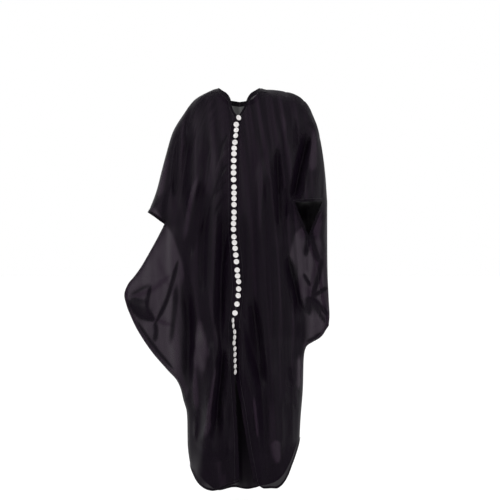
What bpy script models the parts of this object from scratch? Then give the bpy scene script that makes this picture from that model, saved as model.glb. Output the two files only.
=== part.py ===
"""Grand boubou robe in sheer cloth, standing as it is worn, with no wearer inside it.

Metres, +Z up, the front facing -Y. "Left" and "right" are as seen from the front, so right is +X.
The origin is midway between the two neck points of the shoulder line, where a wearer's shoulders carry the robe.

The cloth is worked out in two steps. Each panel is first laid out in the X-Z plane between its own four edges:
the neckline and shoulder line, the hem, the centre line and the side seam. Each of its points is then moved
forwards or back by the depth of the robe there, which rounds off towards the shoulder line and the seams,
and by the folds. Bands lie on a panel's own points, moved out from it.
"""

import math
from collections import namedtuple

import bpy
import numpy as np
from mathutils import Matrix, Vector

# ---------------------------------------------------------------- sizes
CLOTH = 0.0015  # wall of the panels
BAND = 0.0010  # wall of the neck binding, hems and button bands
SEAM_GAP = 0.0003  # clearance between two pieces
BAND_LIFT = CLOTH / 2 + SEAM_GAP + BAND / 2  # a band's middle, above its panel's middle

BUTTON_BAND_WIDTH = 0.022
BINDING_WIDTH = 0.017
EDGE_GAP = 0.0010  # each front edge, from the line where they meet
HEM_WIDTH = 0.008
SLEEVE_HEM_WIDTH = 0.010
SEAM_WIDTH = 0.014

BUTTON_RADIUS = 0.0091
BUTTON_THICKNESS = 0.0036
BUTTON_SIDES = 12
TURNED_OUT = 0.014  # how far a turned button shifts over the cloth, for each sine of its turn
FIRST_BUTTON_Z = -0.108

COLUMNS = 15  # across half a panel
NECK_COLUMNS = 6  # of those, the ones that start from the neckline
ROWS = 30  # down a panel
SLEEVE_ROWS = 5  # of those, the ones that end at the left sleeve's opening
MOUTH_ROWS = 4  # and the ones beside the right sleeve's mouth
YOKE_ROWS = 6  # of the right front above its mouth

Point = namedtuple("Point", "x z")

# ---------------------------------------------------------------- outline
# Neck point to the end of the sleeve, over the shoulder and down the outside of the arm.
SHOULDER_LEFT = [
    Point(-0.077, 0.006),
    Point(-0.115, -0.004),
    Point(-0.147, -0.022),
    Point(-0.172, -0.053),
    Point(-0.200, -0.088),
    Point(-0.226, -0.126),
    Point(-0.249, -0.193),
    Point(-0.277, -0.298),
    Point(-0.303, -0.393),
    Point(-0.320, -0.424),
]
SHOULDER_RIGHT = [
    Point(0.072, 0.006),
    Point(0.120, -0.002),
    Point(0.172, -0.007),
    Point(0.205, -0.020),
    Point(0.235, -0.052),
    Point(0.256, -0.090),
    Point(0.268, -0.126),
    Point(0.284, -0.193),
    Point(0.298, -0.298),
    Point(0.305, -0.388),
]
# The left sleeve's opening runs between the end of the shoulder line and the top of the side seam.
SLEEVE_END_LEFT = [Point(-0.320, -0.424), Point(-0.291, -0.443), Point(-0.262, -0.466)]
# Side seam to the corner of the hem. The left one is drawn out to where a hand would lift it.
SEAM_LEFT = [
    Point(-0.262, -0.466),
    Point(-0.292, -0.525),
    Point(-0.345, -0.620),
    Point(-0.398, -0.706),
    Point(-0.374, -0.788),
    Point(-0.315, -0.893),
    Point(-0.259, -0.963),
    Point(-0.211, -1.022),
    Point(-0.198, -1.072),
    Point(-0.184, -1.130),
    Point(-0.182, -1.243),
    Point(-0.172, -1.308),
]
SEAM_RIGHT = [
    Point(0.305, -0.388),
    Point(0.306, -0.507),
    Point(0.308, -0.630),
    Point(0.312, -0.718),
    Point(0.315, -0.796),
    Point(0.287, -0.857),
    Point(0.231, -0.896),
    Point(0.223, -0.935),
    Point(0.220, -1.033),
    Point(0.211, -1.150),
    Point(0.208, -1.215),
]
# Neckline: bottom of the front slit up to each neck point, and centre back to each neck point.
NECK_LEFT = [Point(-0.006, -0.101), Point(-0.024, -0.075), Point(-0.034, -0.032), Point(-0.077, 0.006)]
NECK_RIGHT = [Point(-0.006, -0.101), Point(0.014, -0.070), Point(0.031, -0.026), Point(0.072, 0.006)]
NAPE_LEFT = [Point(-0.002, -0.030), Point(-0.040, -0.024), Point(-0.077, 0.006)]
NAPE_RIGHT = [Point(-0.002, -0.030), Point(0.036, -0.024), Point(0.072, 0.006)]
# Front edges, top to hem: they meet under the buttons and part below the last one.
EDGE_LEFT = [
    Point(-0.006, -0.101),
    Point(-0.016, -0.160),
    Point(-0.020, -0.300),
    Point(-0.020, -0.480),
    Point(-0.011, -0.590),
    Point(-0.006, -0.670),
    Point(-0.010, -0.735),
    Point(-0.020, -0.800),
    Point(-0.017, -0.960),
    Point(-0.011, -1.080),
    Point(-0.003, -1.230),
    Point(0.000, -1.335),
]
EDGE_RIGHT = EDGE_LEFT[:9] + [
    Point(0.004, -1.080),
    Point(0.028, -1.230),
    Point(0.046, -1.332),
]
CENTRE_BACK = [Point(-0.002, -0.030), Point(0.000, -0.500), Point(0.008, -1.000), Point(0.012, -1.412)]
# Hems, from the front edge or the centre back out to the side seam.
HEM_LEFT = [Point(0.000, -1.335), Point(-0.040, -1.350), Point(-0.088, -1.368), Point(-0.138, -1.345), Point(-0.172, -1.308)]
HEM_RIGHT = [
    Point(0.046, -1.332),
    Point(0.080, -1.352),
    Point(0.122, -1.356),
    Point(0.155, -1.330),
    Point(0.180, -1.280),
    Point(0.208, -1.215),
]
HEM_BACK_LEFT = [Point(0.012, -1.412), Point(-0.060, -1.416), Point(-0.115, -1.396), Point(-0.150, -1.355), Point(-0.172, -1.308)]
HEM_BACK_RIGHT = [Point(0.012, -1.412), Point(0.080, -1.408), Point(0.140, -1.378), Point(0.182, -1.305), Point(0.208, -1.215)]

# The right sleeve opens forwards. Its mouth has an outer, an inner and a lower corner, and the side seam starts from the
# lower one. Below the shoulder the back panel comes round to the front as far as that seam: a table of how far in from
# the outline the seam lies, by height.
MOUTH_OUTER, MOUTH_INNER, MOUTH_LOWER = Point(0.283, -0.388), Point(0.188, -0.394), Point(0.236, -0.505)
Inset = namedtuple("Inset", "z width")
SEAM_INSETS = [
    Inset(-0.806, 0.0),
    Inset(-0.735, 0.015),
    Inset(-0.634, 0.024),
    Inset(-0.602, 0.032),
    Inset(-0.505, 0.070),
    Inset(-0.388, 0.022),
    Inset(-0.298, 0.008),
    Inset(-0.193, 0.0),
]
YOKE = [Point(-0.020, -0.348), Point(0.100, -0.360), Point(0.188, -0.394)]  # front edge to the mouth's inner corner

# ---------------------------------------------------------------- depth
# One row for each height. front and back are the depths at the middle, core is the half width of the filled-out
# middle and wing the depth beside it. Each side seam has a radius that it rounds off with, and its own y.
Section = namedtuple(
    "Section", "z centre front back core wing left_radius right_radius left_y right_y"
)
SECTIONS = [
    Section(0.02, 0.000, 0.085, 0.090, 0.240, 0.045, 0.040, 0.040, 0.000, 0.000),
    Section(-0.10, 0.000, 0.112, 0.105, 0.250, 0.045, 0.050, 0.050, 0.000, 0.000),
    Section(-0.20, 0.000, 0.138, 0.115, 0.250, 0.050, 0.055, 0.055, 0.000, 0.000),
    Section(-0.32, 0.000, 0.142, 0.115, 0.235, 0.050, 0.055, 0.060, -0.005, 0.005),
    Section(-0.45, 0.000, 0.138, 0.115, 0.205, 0.040, 0.028, 0.050, -0.010, 0.020),
    Section(-0.58, 0.000, 0.138, 0.125, 0.180, 0.024, 0.014, 0.030, -0.025, 0.035),
    Section(-0.70, 0.000, 0.140, 0.138, 0.172, 0.020, 0.010, 0.018, -0.040, 0.040),
    Section(-0.85, 0.002, 0.143, 0.150, 0.175, 0.022, 0.012, 0.014, -0.030, 0.030),
    Section(-1.00, 0.006, 0.146, 0.158, 0.178, 0.050, 0.040, 0.060, -0.010, 0.010),
    Section(-1.15, 0.010, 0.150, 0.162, 0.180, 0.060, 0.070, 0.070, 0.000, 0.005),
    Section(-1.40, 0.014, 0.152, 0.160, 0.175, 0.060, 0.070, 0.060, 0.000, 0.005),
]
SHOULDER_RADIUS = 0.050
BLEND = 3.5  # how sharply the rounding of an edge gives way to the full depth

# The right elbow is bent, so its sleeve stands forward and ends in the mouth.
ELBOW = Point(0.240, -0.395)
ELBOW_REACH = 0.045
ELBOW_HALF_WIDTH = 0.060
ELBOW_RISE = 0.200  # height above the elbow over which the sleeve comes forward
ELBOW_DROP = 0.045  # and below it, over which the cloth falls back

# Largest folds. rise is how far a ridge stands out from the panel; a trough's is negative.
Fold = namedtuple("Fold", "x_top z_top x_low z_low width_top width_low rise")
FRONT_FOLDS = [
    Fold(-0.168, -0.120, -0.215, -0.440, 0.016, 0.022, -0.020),
    Fold(-0.140, -0.200, -0.162, -0.560, 0.022, 0.026, 0.016),
    Fold(-0.080, -0.260, -0.115, -0.860, 0.020, 0.032, 0.020),
    Fold(-0.046, -0.340, -0.075, -0.920, 0.018, 0.026, -0.016),
    Fold(-0.180, -0.660, -0.178, -1.060, 0.020, 0.022, -0.024),
    Fold(-0.072, -0.820, -0.128, -1.320, 0.020, 0.030, 0.030),
    Fold(-0.052, -0.820, -0.088, -1.250, 0.016, 0.022, -0.024),
    Fold(0.238, -0.110, 0.184, -0.420, 0.016, 0.020, -0.034),
    Fold(0.124, -0.180, 0.146, -0.560, 0.016, 0.022, -0.018),
    Fold(0.074, -0.220, 0.082, -0.800, 0.026, 0.032, 0.014),
    Fold(0.160, -0.540, 0.212, -0.820, 0.018, 0.024, -0.026),
    Fold(0.010, -0.720, 0.018, -1.180, 0.016, 0.024, 0.030),
    Fold(0.040, -0.680, 0.078, -1.060, 0.014, 0.022, -0.032),
    Fold(0.030, -0.900, 0.076, -1.400, 0.020, 0.030, 0.028),
    Fold(0.140, -0.920, 0.142, -1.420, 0.028, 0.036, 0.020),
]
BACK_FOLDS = [
    Fold(-0.170, -0.110, -0.210, -0.460, 0.018, 0.024, -0.022),
    Fold(-0.110, -0.160, -0.150, -0.900, 0.022, 0.034, 0.018),
    Fold(-0.060, -0.240, -0.085, -1.380, 0.020, 0.034, -0.026),
    Fold(-0.015, -0.300, -0.030, -1.380, 0.022, 0.036, 0.026),
    Fold(0.030, -0.200, 0.030, -1.380, 0.020, 0.032, -0.024),
    Fold(0.075, -0.260, 0.085, -1.380, 0.022, 0.034, 0.024),
    Fold(0.130, -0.140, 0.140, -1.200, 0.020, 0.030, -0.022),
    Fold(0.200, -0.110, 0.190, -0.480, 0.018, 0.024, 0.018),
    Fold(-0.120, -0.800, -0.130, -1.380, 0.022, 0.034, 0.024),
]

MATERIALS = {
    "black_chiffon": ((0.012, 0.009, 0.012), 0.75),
    "black_binding": ((0.006, 0.005, 0.007), 0.80),
    "white_button": ((0.82, 0.80, 0.78), 0.35),
}


# ---------------------------------------------------------------- curves and tables
def spline(points, count):
    """count points, evenly spaced in arc length, on a smooth curve through the given ones."""
    p = np.array(points, float)
    chord = np.concatenate([[0], np.cumsum(np.linalg.norm(np.diff(p, axis=0), axis=1))])
    fine = np.linspace(0, chord[-1], 400)
    curve = np.stack([smooth(fine, chord, p[:, k]) for k in range(p.shape[1])], axis=1)
    length = np.concatenate([[0], np.cumsum(np.linalg.norm(np.diff(curve, axis=0), axis=1))])
    at = np.linspace(0, length[-1], count)
    return np.stack([np.interp(at, length, curve[:, k]) for k in range(p.shape[1])], axis=1)


def smooth(at, knots, values):
    """Cubic interpolation without overshoot between knots in rising order."""
    knots, values = np.asarray(knots, float), np.asarray(values, float)
    step = np.diff(knots)
    slope = np.diff(values) / step
    inner = np.where(slope[:-1] * slope[1:] > 0, 2 * slope[:-1] * slope[1:] / (slope[:-1] + slope[1:] + 1e-12), 0)
    inner = np.where(slope[:-1] * slope[1:] > 0, inner, 0)
    tangent = np.concatenate([[slope[0]], inner, [slope[-1]]])
    at = np.clip(at, knots[0], knots[-1])
    i = np.clip(np.searchsorted(knots, at, side="right") - 1, 0, len(step) - 1)
    t = (at - knots[i]) / step[i]
    return (
        values[i] * (1 + 2 * t) * (1 - t) ** 2
        + tangent[i] * step[i] * t * (1 - t) ** 2
        + values[i + 1] * t**2 * (3 - 2 * t)
        + tangent[i + 1] * step[i] * t**2 * (t - 1)
    )


def section(z, column):
    """A column of SECTIONS at any height."""
    table = SECTIONS[::-1]
    return smooth(z, [row.z for row in table], [getattr(row, column) for row in table])


def ease(t):
    t = np.clip(t, 0, 1)
    return t * t * (3 - 2 * t)


def distance(x, z, curve):
    """Distance in the X-Z plane from each point to a polyline."""
    start, run = curve[:-1], np.diff(curve, axis=0)
    px, pz = x[..., None] - start[:, 0], z[..., None] - start[:, 1]
    t = np.clip((px * run[:, 0] + pz * run[:, 1]) / (run**2).sum(axis=1), 0, 1)
    return np.sqrt(((px - t * run[:, 0]) ** 2 + (pz - t * run[:, 1]) ** 2).min(axis=-1))


# ---------------------------------------------------------------- depth of the robe
SIDE_POINTS = 90
LEFT_ARM, RIGHT_ARM = spline(SHOULDER_LEFT, SIDE_POINTS), spline(SHOULDER_RIGHT, SIDE_POINTS)
LEFT_SEAM, RIGHT_SEAM = spline(SEAM_LEFT, SIDE_POINTS), spline(SEAM_RIGHT, SIDE_POINTS)


def fold_height(x, z, folds):
    """How far the folds stand out at each point."""
    height = np.zeros_like(x)
    for f in folds:
        down = np.clip((z - f.z_top) / (f.z_low - f.z_top), 0, 1)
        middle = f.x_top + (f.x_low - f.x_top) * down
        width = f.width_top + (f.width_low - f.width_top) * down
        open_hem = f.z_low < -1.3
        fade = ease(down / 0.3) * (1 if open_hem else ease((1 - down) / 0.3))
        height += f.rise * fade * np.exp(-(((x - middle) / width) ** 2))
    return height


def thickness(x, z, face):
    """Depth of the robe in front of (face -1) or behind (face 1) the surface that its seams lie in."""
    centre = section(z, "centre")
    full = section(z, "front" if face < 0 else "back")
    wing = section(z, "wing")
    across = np.abs(x - centre) / section(z, "core")
    full = wing + (full - wing) / (1 + across**3)
    left_radius, right_radius = section(z, "left_radius"), section(z, "right_radius")
    edges = [
        (LEFT_ARM, SHOULDER_RADIUS),
        (RIGHT_ARM, SHOULDER_RADIUS),
        (LEFT_SEAM, left_radius),
        (RIGHT_SEAM, right_radius),
    ]
    total = full**-BLEND
    for curve, radius in edges:
        total += (np.sqrt(2 * radius * distance(x, z, curve)) + 1e-5) ** -BLEND
    return total ** (-1 / BLEND)


def seam_plane(x, z):
    """y of the surface that the shoulder line and both side seams lie in."""
    centre = section(z, "centre")
    left = ease((centre - x) / 0.30)
    right = ease((x - centre) / 0.30)
    return left * section(z, "left_y") + right * section(z, "right_y")


def elbow(x, z):
    """How far the bent right arm holds its sleeve forward."""
    above = ease(1 - (z - ELBOW.z) / ELBOW_RISE)
    below = ease(1 - (ELBOW.z - z) / ELBOW_DROP)
    return ELBOW_REACH * np.where(z > ELBOW.z, above, below) * np.exp(-(((x - ELBOW.x) / ELBOW_HALF_WIDTH) ** 2))


def cloth_y(x, z, face):
    """y of a panel's middle surface: face -1 is the front and 1 the back."""
    x, z = np.asarray(x, float), np.asarray(z, float)
    depth = thickness(x, z, face)
    room = np.clip(depth / 0.06, 0, 1)  # folds die out where front and back come together
    folds = fold_height(x, z, FRONT_FOLDS if face < 0 else BACK_FOLDS)
    depth = depth + room * folds + (room * elbow(x, z) if face < 0 else 0)
    return seam_plane(x, z) + face * depth


# ---------------------------------------------------------------- panels
def column_shares():
    """Where each column meets the hem, as a share of it from the centre line out; closer towards the seam."""
    a = np.linspace(0, 1, COLUMNS + 1)
    return 0.55 * a + 0.45 * np.sin(a * np.pi / 2)


def at_shares(points, shares):
    """Points on a smooth curve at the given shares of its length."""
    curve = spline(points, 400)
    return np.stack([np.interp(shares, np.linspace(0, 1, 400), curve[:, k]) for k in (0, 1)], axis=1)


def split(opening, seam, count_a, count):
    """count + 1 points that cross a sleeve's opening in count_a steps, then its hem's width down the seam, then the
    rest of the seam."""
    steps = np.linspace(SLEEVE_HEM_WIDTH / length_of(seam), 1, count - count_a)
    return np.concatenate([spline(opening, count_a + 1), at_shares(seam, steps)])


def length_of(points):
    return np.linalg.norm(np.diff(spline(points, 400), axis=0), axis=1).sum()


def neckline(neck, shoulder):
    """The top edge of a panel: the neckline, then the shoulder, whose first step is as wide as the neck's binding and
    whose last is as wide as the sleeve's hem."""
    length = length_of(shoulder)
    steps = np.linspace(BINDING_WIDTH / length, 1 - SLEEVE_HEM_WIDTH / length, COLUMNS - NECK_COLUMNS - 1)
    return np.concatenate([spline(neck, NECK_COLUMNS + 1), at_shares(shoulder, steps), [shoulder[-1]]])


def slide(grid, width, target, anchor, towards):
    """Moves one line of the grid to be width from its edge, towards the line after it."""
    way = grid[towards] - grid[anchor]
    length = np.linalg.norm(way, axis=-1, keepdims=True)
    grid[target] = grid[anchor] + way * np.minimum(width / length, 0.5)


def blend(top, low, inner, outer):
    """A grid of points in the X-Z plane between four edges, as rows from the inner edge out."""
    u, v = np.linspace(0, 1, len(top))[None, :, None], np.linspace(0, 1, len(inner))[:, None, None]
    corners = (1 - u) * (1 - v) * top[0] + u * (1 - v) * top[-1] + (1 - u) * v * low[0] + u * v * low[-1]
    return relax((1 - v) * top + v * low + (1 - u) * inner[:, None] + u * outer[:, None] - corners)


def relax(grid, rounds=400):
    """Evens out a grid inside its fixed edges until no cell is folded over, as conformal lines would run."""
    for _ in range(rounds):
        left, right, up, down = grid[1:-1, :-2], grid[1:-1, 2:], grid[:-2, 1:-1], grid[2:, 1:-1]
        across, along = (right - left) / 2, (down - up) / 2
        a = (along**2).sum(axis=-1, keepdims=True)
        b = (across * along).sum(axis=-1, keepdims=True)
        g = (across**2).sum(axis=-1, keepdims=True)
        twist = (grid[2:, 2:] + grid[:-2, :-2] - grid[2:, :-2] - grid[:-2, 2:]) / 4
        new = (a * (left + right) + g * (up + down) - 2 * b * twist) / (2 * (a + g) + 1e-12)
        grid[1:-1, 1:-1] += 0.8 * (new - grid[1:-1, 1:-1])
    return grid


def seam_inset(z):
    return np.interp(z, [row.z for row in SEAM_INSETS], [row.width for row in SEAM_INSETS])


def lay_out():
    """The points where front and back come together, and every panel as grids in the X-Z plane: name, face and points.
    Grids that meet share their edge points."""
    shares = column_shares()
    down = np.linspace(0, 1, ROWS + 1)
    centre_down = 0.62 * down + 0.38 * down**2.2  # closer towards the shoulder

    left_outer = split(SLEEVE_END_LEFT, SEAM_LEFT, SLEEVE_ROWS, ROWS)
    knee = [p for p in SEAM_RIGHT if p.z > -0.5] + [Point(0.306, -0.507)]
    right_outer = split(knee, [p for p in SEAM_RIGHT if p.z < -0.5], MOUTH_ROWS, ROWS)

    nape_left = neckline(NAPE_LEFT, SHOULDER_LEFT)
    nape_right = neckline(NAPE_RIGHT, SHOULDER_RIGHT)
    neck_left = neckline(NECK_LEFT, SHOULDER_LEFT)
    neck_right = neckline(NECK_RIGHT, SHOULDER_RIGHT)
    neck_right[:, 0] -= np.where(neck_right[:, 0] > 0.25, seam_inset(neck_right[:, 1]), 0)

    centre_back = at_shares(CENTRE_BACK, centre_down)
    back_left = blend(nape_left, at_shares(HEM_BACK_LEFT, shares), centre_back, left_outer)
    back_right = blend(nape_right, at_shares(HEM_BACK_RIGHT, shares), centre_back, right_outer)
    front_left = blend(neck_left, at_shares(HEM_LEFT, shares), at_shares(EDGE_LEFT, centre_down), left_outer)

    seam = right_outer.copy()
    seam[:, 0] -= seam_inset(seam[:, 1])
    side = seam.copy()
    side[: MOUTH_ROWS + 1] = np.linspace(MOUTH_INNER, seam[MOUTH_ROWS], MOUTH_ROWS + 1)
    edge = spline(EDGE_RIGHT, 400)
    yoke_end = np.searchsorted(-edge[:, 1], -YOKE[0].z) / 399
    yoke_edge = at_shares(EDGE_RIGHT, np.linspace(0, yoke_end, YOKE_ROWS + 1))
    yoke_line = at_shares([Point(*yoke_edge[-1])] + YOKE[1:], shares)
    yoke = blend(neck_right, yoke_line, yoke_edge, np.linspace(neck_right[-1], MOUTH_INNER, YOKE_ROWS + 1))
    lower_edge = at_shares(EDGE_RIGHT, np.linspace(yoke_end, 1, ROWS + 1))
    lower = blend(yoke_line, at_shares(HEM_RIGHT, shares), lower_edge, side)

    outline = np.concatenate([nape_right[NECK_COLUMNS:], right_outer[1:]])
    strip_edge = np.concatenate([neck_right[NECK_COLUMNS:], seam[1:]])
    apart = np.flatnonzero(np.abs(outline - strip_edge).max(axis=1) > 1e-6)
    rows = slice(apart[0] - 1, apart[-1] + 2)
    width = np.linalg.norm(outline - strip_edge, axis=1)[rows, None]
    steps = np.minimum(0.5, SLEEVE_HEM_WIDTH / np.maximum(width, 1e-6))
    steps = np.concatenate([0 * steps, steps, 0 * steps + 1], axis=1)[..., None]
    strip = (1 - steps) * strip_edge[rows][:, None] + steps * outline[rows][:, None]

    for grid in (front_left, yoke, back_left, back_right):
        line = slice(NECK_COLUMNS + 2)
        slide(grid, BINDING_WIDTH, np.s_[1, line], np.s_[0, line], np.s_[2, line])
    for grid in (front_left, lower, back_left, back_right):
        slide(grid, HEM_WIDTH, np.s_[-2], np.s_[-1], np.s_[-3])
    for grid in (front_left, yoke, lower):
        slide(grid, BUTTON_BAND_WIDTH, np.s_[1:, 1], np.s_[1:, 0], np.s_[1:, 2])
    for grid, end in ((front_left, SLEEVE_ROWS), (lower, MOUTH_ROWS), (back_left, SLEEVE_ROWS), (back_right, 0)):
        slide(grid, SLEEVE_HEM_WIDTH, np.s_[1 : end + 2, -2], np.s_[1 : end + 2, -1], np.s_[1 : end + 2, -3])
        slide(grid, SEAM_WIDTH, np.s_[end + 2 :, -2], np.s_[end + 2 :, -1], np.s_[end + 2 :, -3])
    slide(yoke, SLEEVE_HEM_WIDTH, np.s_[1:, -2], np.s_[1:, -1], np.s_[1:, -3])
    front_left[:, 0, 0] -= EDGE_GAP
    yoke[:, 0, 0] += EDGE_GAP
    lower[:, 0, 0] += EDGE_GAP
    lower[0] = yoke[-1]
    closed = np.concatenate([nape_left[NECK_COLUMNS:], left_outer[SLEEVE_ROWS:], outline])
    return closed, [
        ("front_left", -1, front_left),
        ("front_right", -1, yoke),
        ("front_right", -1, lower),
        ("back", 1, back_left),
        ("back", 1, back_right),
        ("back", -1, strip),
    ]


class Robe:
    """All the panels as one sheet, its seams still joined: points, unit offsets, and each cell's panel and place."""

    def __init__(self):
        self.points, self.cells, self.panel, self.place = [], [], [], []
        known = {}
        z_mouth = MOUTH_OUTER.z
        closed, grids = lay_out()
        closed = {tuple(key) for key in np.round(closed * 2e4).astype(int)}
        for block, (name, face, grid) in enumerate(grids):
            y = cloth_y(grid[..., 0], grid[..., 1], face)
            for r, c in np.ndindex(y.shape):
                if tuple(np.round(grid[r, c] * 2e4).astype(int)) in closed:
                    y[r, c] = seam_plane(*grid[r, c])
            space = np.stack([grid[..., 0], y, grid[..., 1]], axis=-1)
            ids = np.empty(space.shape[:2], int)
            if block == STRIP:  # its first row beside the mouth
                self.strip_first = int(np.abs(grid[:, -1, 1] - z_mouth).argmin())
            for r, c in np.ndindex(ids.shape):
                key = tuple(np.round(space[r, c] * 2e4).astype(int))
                if key not in known:
                    known[key] = len(self.points)
                    self.points.append(space[r, c])
                ids[r, c] = known[key]
            for r, c in np.ndindex(ids.shape[0] - 1, ids.shape[1] - 1):
                cell = [ids[r, c], ids[r, c + 1], ids[r + 1, c + 1], ids[r + 1, c]]
                cell = list(dict.fromkeys(cell))
                if len(cell) < 3:
                    continue
                loop = np.array([self.points[i] for i in cell])
                turn = np.cross(loop[1] - loop[0], loop[2] - loop[0]) + np.cross(loop[2] - loop[0], loop[-1] - loop[0])
                if not self.faces_out(block, face, turn):
                    cell.reverse()
                if len(cell) == 4:  # the cell is split across its shorter diagonal
                    a, b, c_, d = (self.points[i] for i in cell)
                    if np.linalg.norm(b - d) < np.linalg.norm(a - c_):
                        cell = cell[1:] + cell[:1]
                self.cells.append(cell)
                self.panel.append(name)
                self.place.append((block, r, c))
        self.points = np.array(self.points)
        self.out = self.offsets()

    def faces_out(self, block, face, turn):
        """Cells of one block all wind the same way, set by the block's first cell."""
        if not hasattr(self, "winding"):
            self.winding = {}
        return self.winding.setdefault(block, turn[1] * face > 0)

    def offsets(self):
        """For each point, the move that lifts all the cells around it by one unit: the normal, longer at a crease."""
        normals = []
        total = np.zeros_like(self.points)
        for cell in self.cells:
            loop = self.points[cell]
            n = np.cross(loop[1] - loop[0], loop[2] - loop[0]) + np.cross(loop[2] - loop[0], loop[-1] - loop[0])
            normals.append(n / np.linalg.norm(n))
            total[cell] += normals[-1]
        unit = total / np.linalg.norm(total, axis=1, keepdims=True)
        lean, count = np.zeros(len(unit)), np.zeros(len(unit))
        for cell, n in zip(self.cells, normals):
            lean[cell] += unit[cell] @ n
            count[cell] += 1
        return unit / np.maximum(lean / count, 0.7)[:, None]

    def pulled_in(self, name):
        """The points of one panel, with those on its seams moved into it to leave a gap."""
        points = self.points.copy()
        mine = [c for c, n in zip(self.cells, self.panel) if n == name]
        others = {i for c, n in zip(self.cells, self.panel) if n != name for i in c}
        seam = {i for c in mine for i in c} & others
        pull = {i: [] for i in seam}
        for cell in mine:
            middle = self.points[cell].mean(axis=0)
            for i in seam & set(cell):
                pull[i].append(middle)
        for i, middles in pull.items():
            way = np.mean(middles, axis=0) - points[i]
            edges = self.seam_run(i, seam, mine)
            if edges is not None:
                way -= edges * (way @ edges)
            points[i] += SEAM_GAP * way / np.linalg.norm(way)
        return points

    def seam_run(self, i, seam, mine):
        """Direction of the seam at one of its points, or None where it only touches the seam's end."""
        ends = set()
        for cell in mine:
            if i in cell:
                k = cell.index(i)
                ends |= {cell[k - 1], cell[(k + 1) % len(cell)]} & seam
        if not ends:
            return None
        runs = [self.points[j] - self.points[i] for j in ends]
        run = runs[0] - runs[1] if len(runs) > 1 else runs[0]
        return run / np.linalg.norm(run)


# ---------------------------------------------------------------- meshes
def make_object(name, vertices, faces, material):
    mesh = bpy.data.meshes.new(name)
    mesh.from_pydata([tuple(v) for v in vertices], [], faces)
    mesh.validate()
    mesh.materials.append(material)
    mesh.shade_smooth()
    mesh.set_sharp_from_angle(angle=np.radians(50))
    obj = bpy.data.objects.new(name, mesh)
    bpy.context.scene.collection.objects.link(obj)
    return obj


def shell(name, points, out, cells, lift, wall, material):
    """A closed wall on the given cells, its middle lift above their points."""
    used = sorted({i for cell in cells for i in cell})
    number = {i: k for k, i in enumerate(used)}
    n = len(used)
    vertices = np.concatenate(
        [points[used] + out[used] * (lift + wall / 2), points[used] + out[used] * (lift - wall / 2)]
    )
    faces, edges = [], {}
    for cell in cells:
        loop = [number[i] for i in cell]
        for k in range(1, len(loop) - 1):
            tri = (loop[0], loop[k], loop[k + 1])
            faces += [tri, tuple(n + i for i in tri[::-1])]
        for a, b in zip(loop, loop[1:] + loop[:1]):
            edges[(a, b)] = True
    for a, b in edges:
        if (b, a) not in edges:
            faces += [(b, a, n + a), (b, n + a, n + b)]
    return make_object(name, vertices, faces, material)


def lathe(name, profile, place, sides, material):
    """A turned solid about its own Z, profile rows of radius and height from the bottom middle to the top middle."""
    vertices, rings, faces = [], [], []
    for radius, height in profile:
        count = 1 if radius == 0 else sides
        rings.append(range(len(vertices), len(vertices) + count))
        for k in range(count):
            angle = 2 * np.pi * k / sides
            vertices.append(place @ Vector((radius * np.cos(angle), radius * np.sin(angle), height)))
    for low, high in zip(rings[:-1], rings[1:]):
        for k in range(sides):
            a, b = low[k % len(low)], low[(k + 1) % len(low)]
            c, d = high[(k + 1) % len(high)], high[k % len(high)]
            if len(low) > 1:
                faces.append((a, b, c))
            if len(high) > 1:
                faces.append((a, c, d))
    return make_object(name, vertices, faces, material)


def make_materials():
    made = {}
    for name, (colour, roughness) in MATERIALS.items():
        material = bpy.data.materials.new(name)
        material.use_nodes = True
        shader = material.node_tree.nodes["Principled BSDF"]
        shader.inputs["Base Color"].default_value = (*colour, 1)
        shader.inputs["Roughness"].default_value = roughness
        shader.inputs["Metallic"].default_value = 0
        made[name] = material
    return made


# ---------------------------------------------------------------- the robe's pieces
FRONT_LEFT, YOKE_BLOCK, LOWER_RIGHT, BACK_LEFT, BACK_RIGHT, STRIP = range(6)
BUTTON_PROFILE = [  # radius, height
    (0, 0),
    (0.0079, 0),
    (BUTTON_RADIUS, 0.0014),
    (0.0079, BUTTON_THICKNESS),
    (0.0057, BUTTON_THICKNESS - 0.0002),
    (0.0044, BUTTON_THICKNESS - 0.0011),
    (0, BUTTON_THICKNESS - 0.0011),
]


# The buttons are sewn on unevenly. Each row is a run of them: the gaps down to the next one, and how far each is turned
# to the left about the upright line and nodded down, in degrees.
TIGHT, CLOSE, EVEN, WIDE, LOOSE, APART = 0.0186, 0.0198, 0.0226, 0.0252, 0.0288, 0.0300
Run = namedtuple("Run", "gaps turn nod")
BUTTON_RUNS = [
    Run((CLOSE,), -28, 0),
    Run((EVEN,), 0, 32),
    Run((CLOSE,), 30, 0),
    Run((TIGHT,), 34, 0),
    Run((EVEN,), -12, 30),
    Run((TIGHT, EVEN, EVEN, CLOSE, EVEN, WIDE), 0, 0),
    Run((CLOSE, TIGHT, CLOSE, WIDE, CLOSE, TIGHT), 8, 0),
    Run((CLOSE, WIDE, CLOSE, CLOSE, EVEN, EVEN, LOOSE, CLOSE, TIGHT), 0, 0),
    Run((WIDE, EVEN, APART), 18, 6),
    Run((APART,), 8, 0),
    Run((WIDE,), -14, 0),
    Run((TIGHT, CLOSE), 40, 0),
    Run((CLOSE, TIGHT, CLOSE, TIGHT, CLOSE, TIGHT, TIGHT, 0), 29, 0),
]


def band_cells(robe, rule):
    return [cell for cell, place in zip(robe.cells, robe.place) if rule(*place)]


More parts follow.
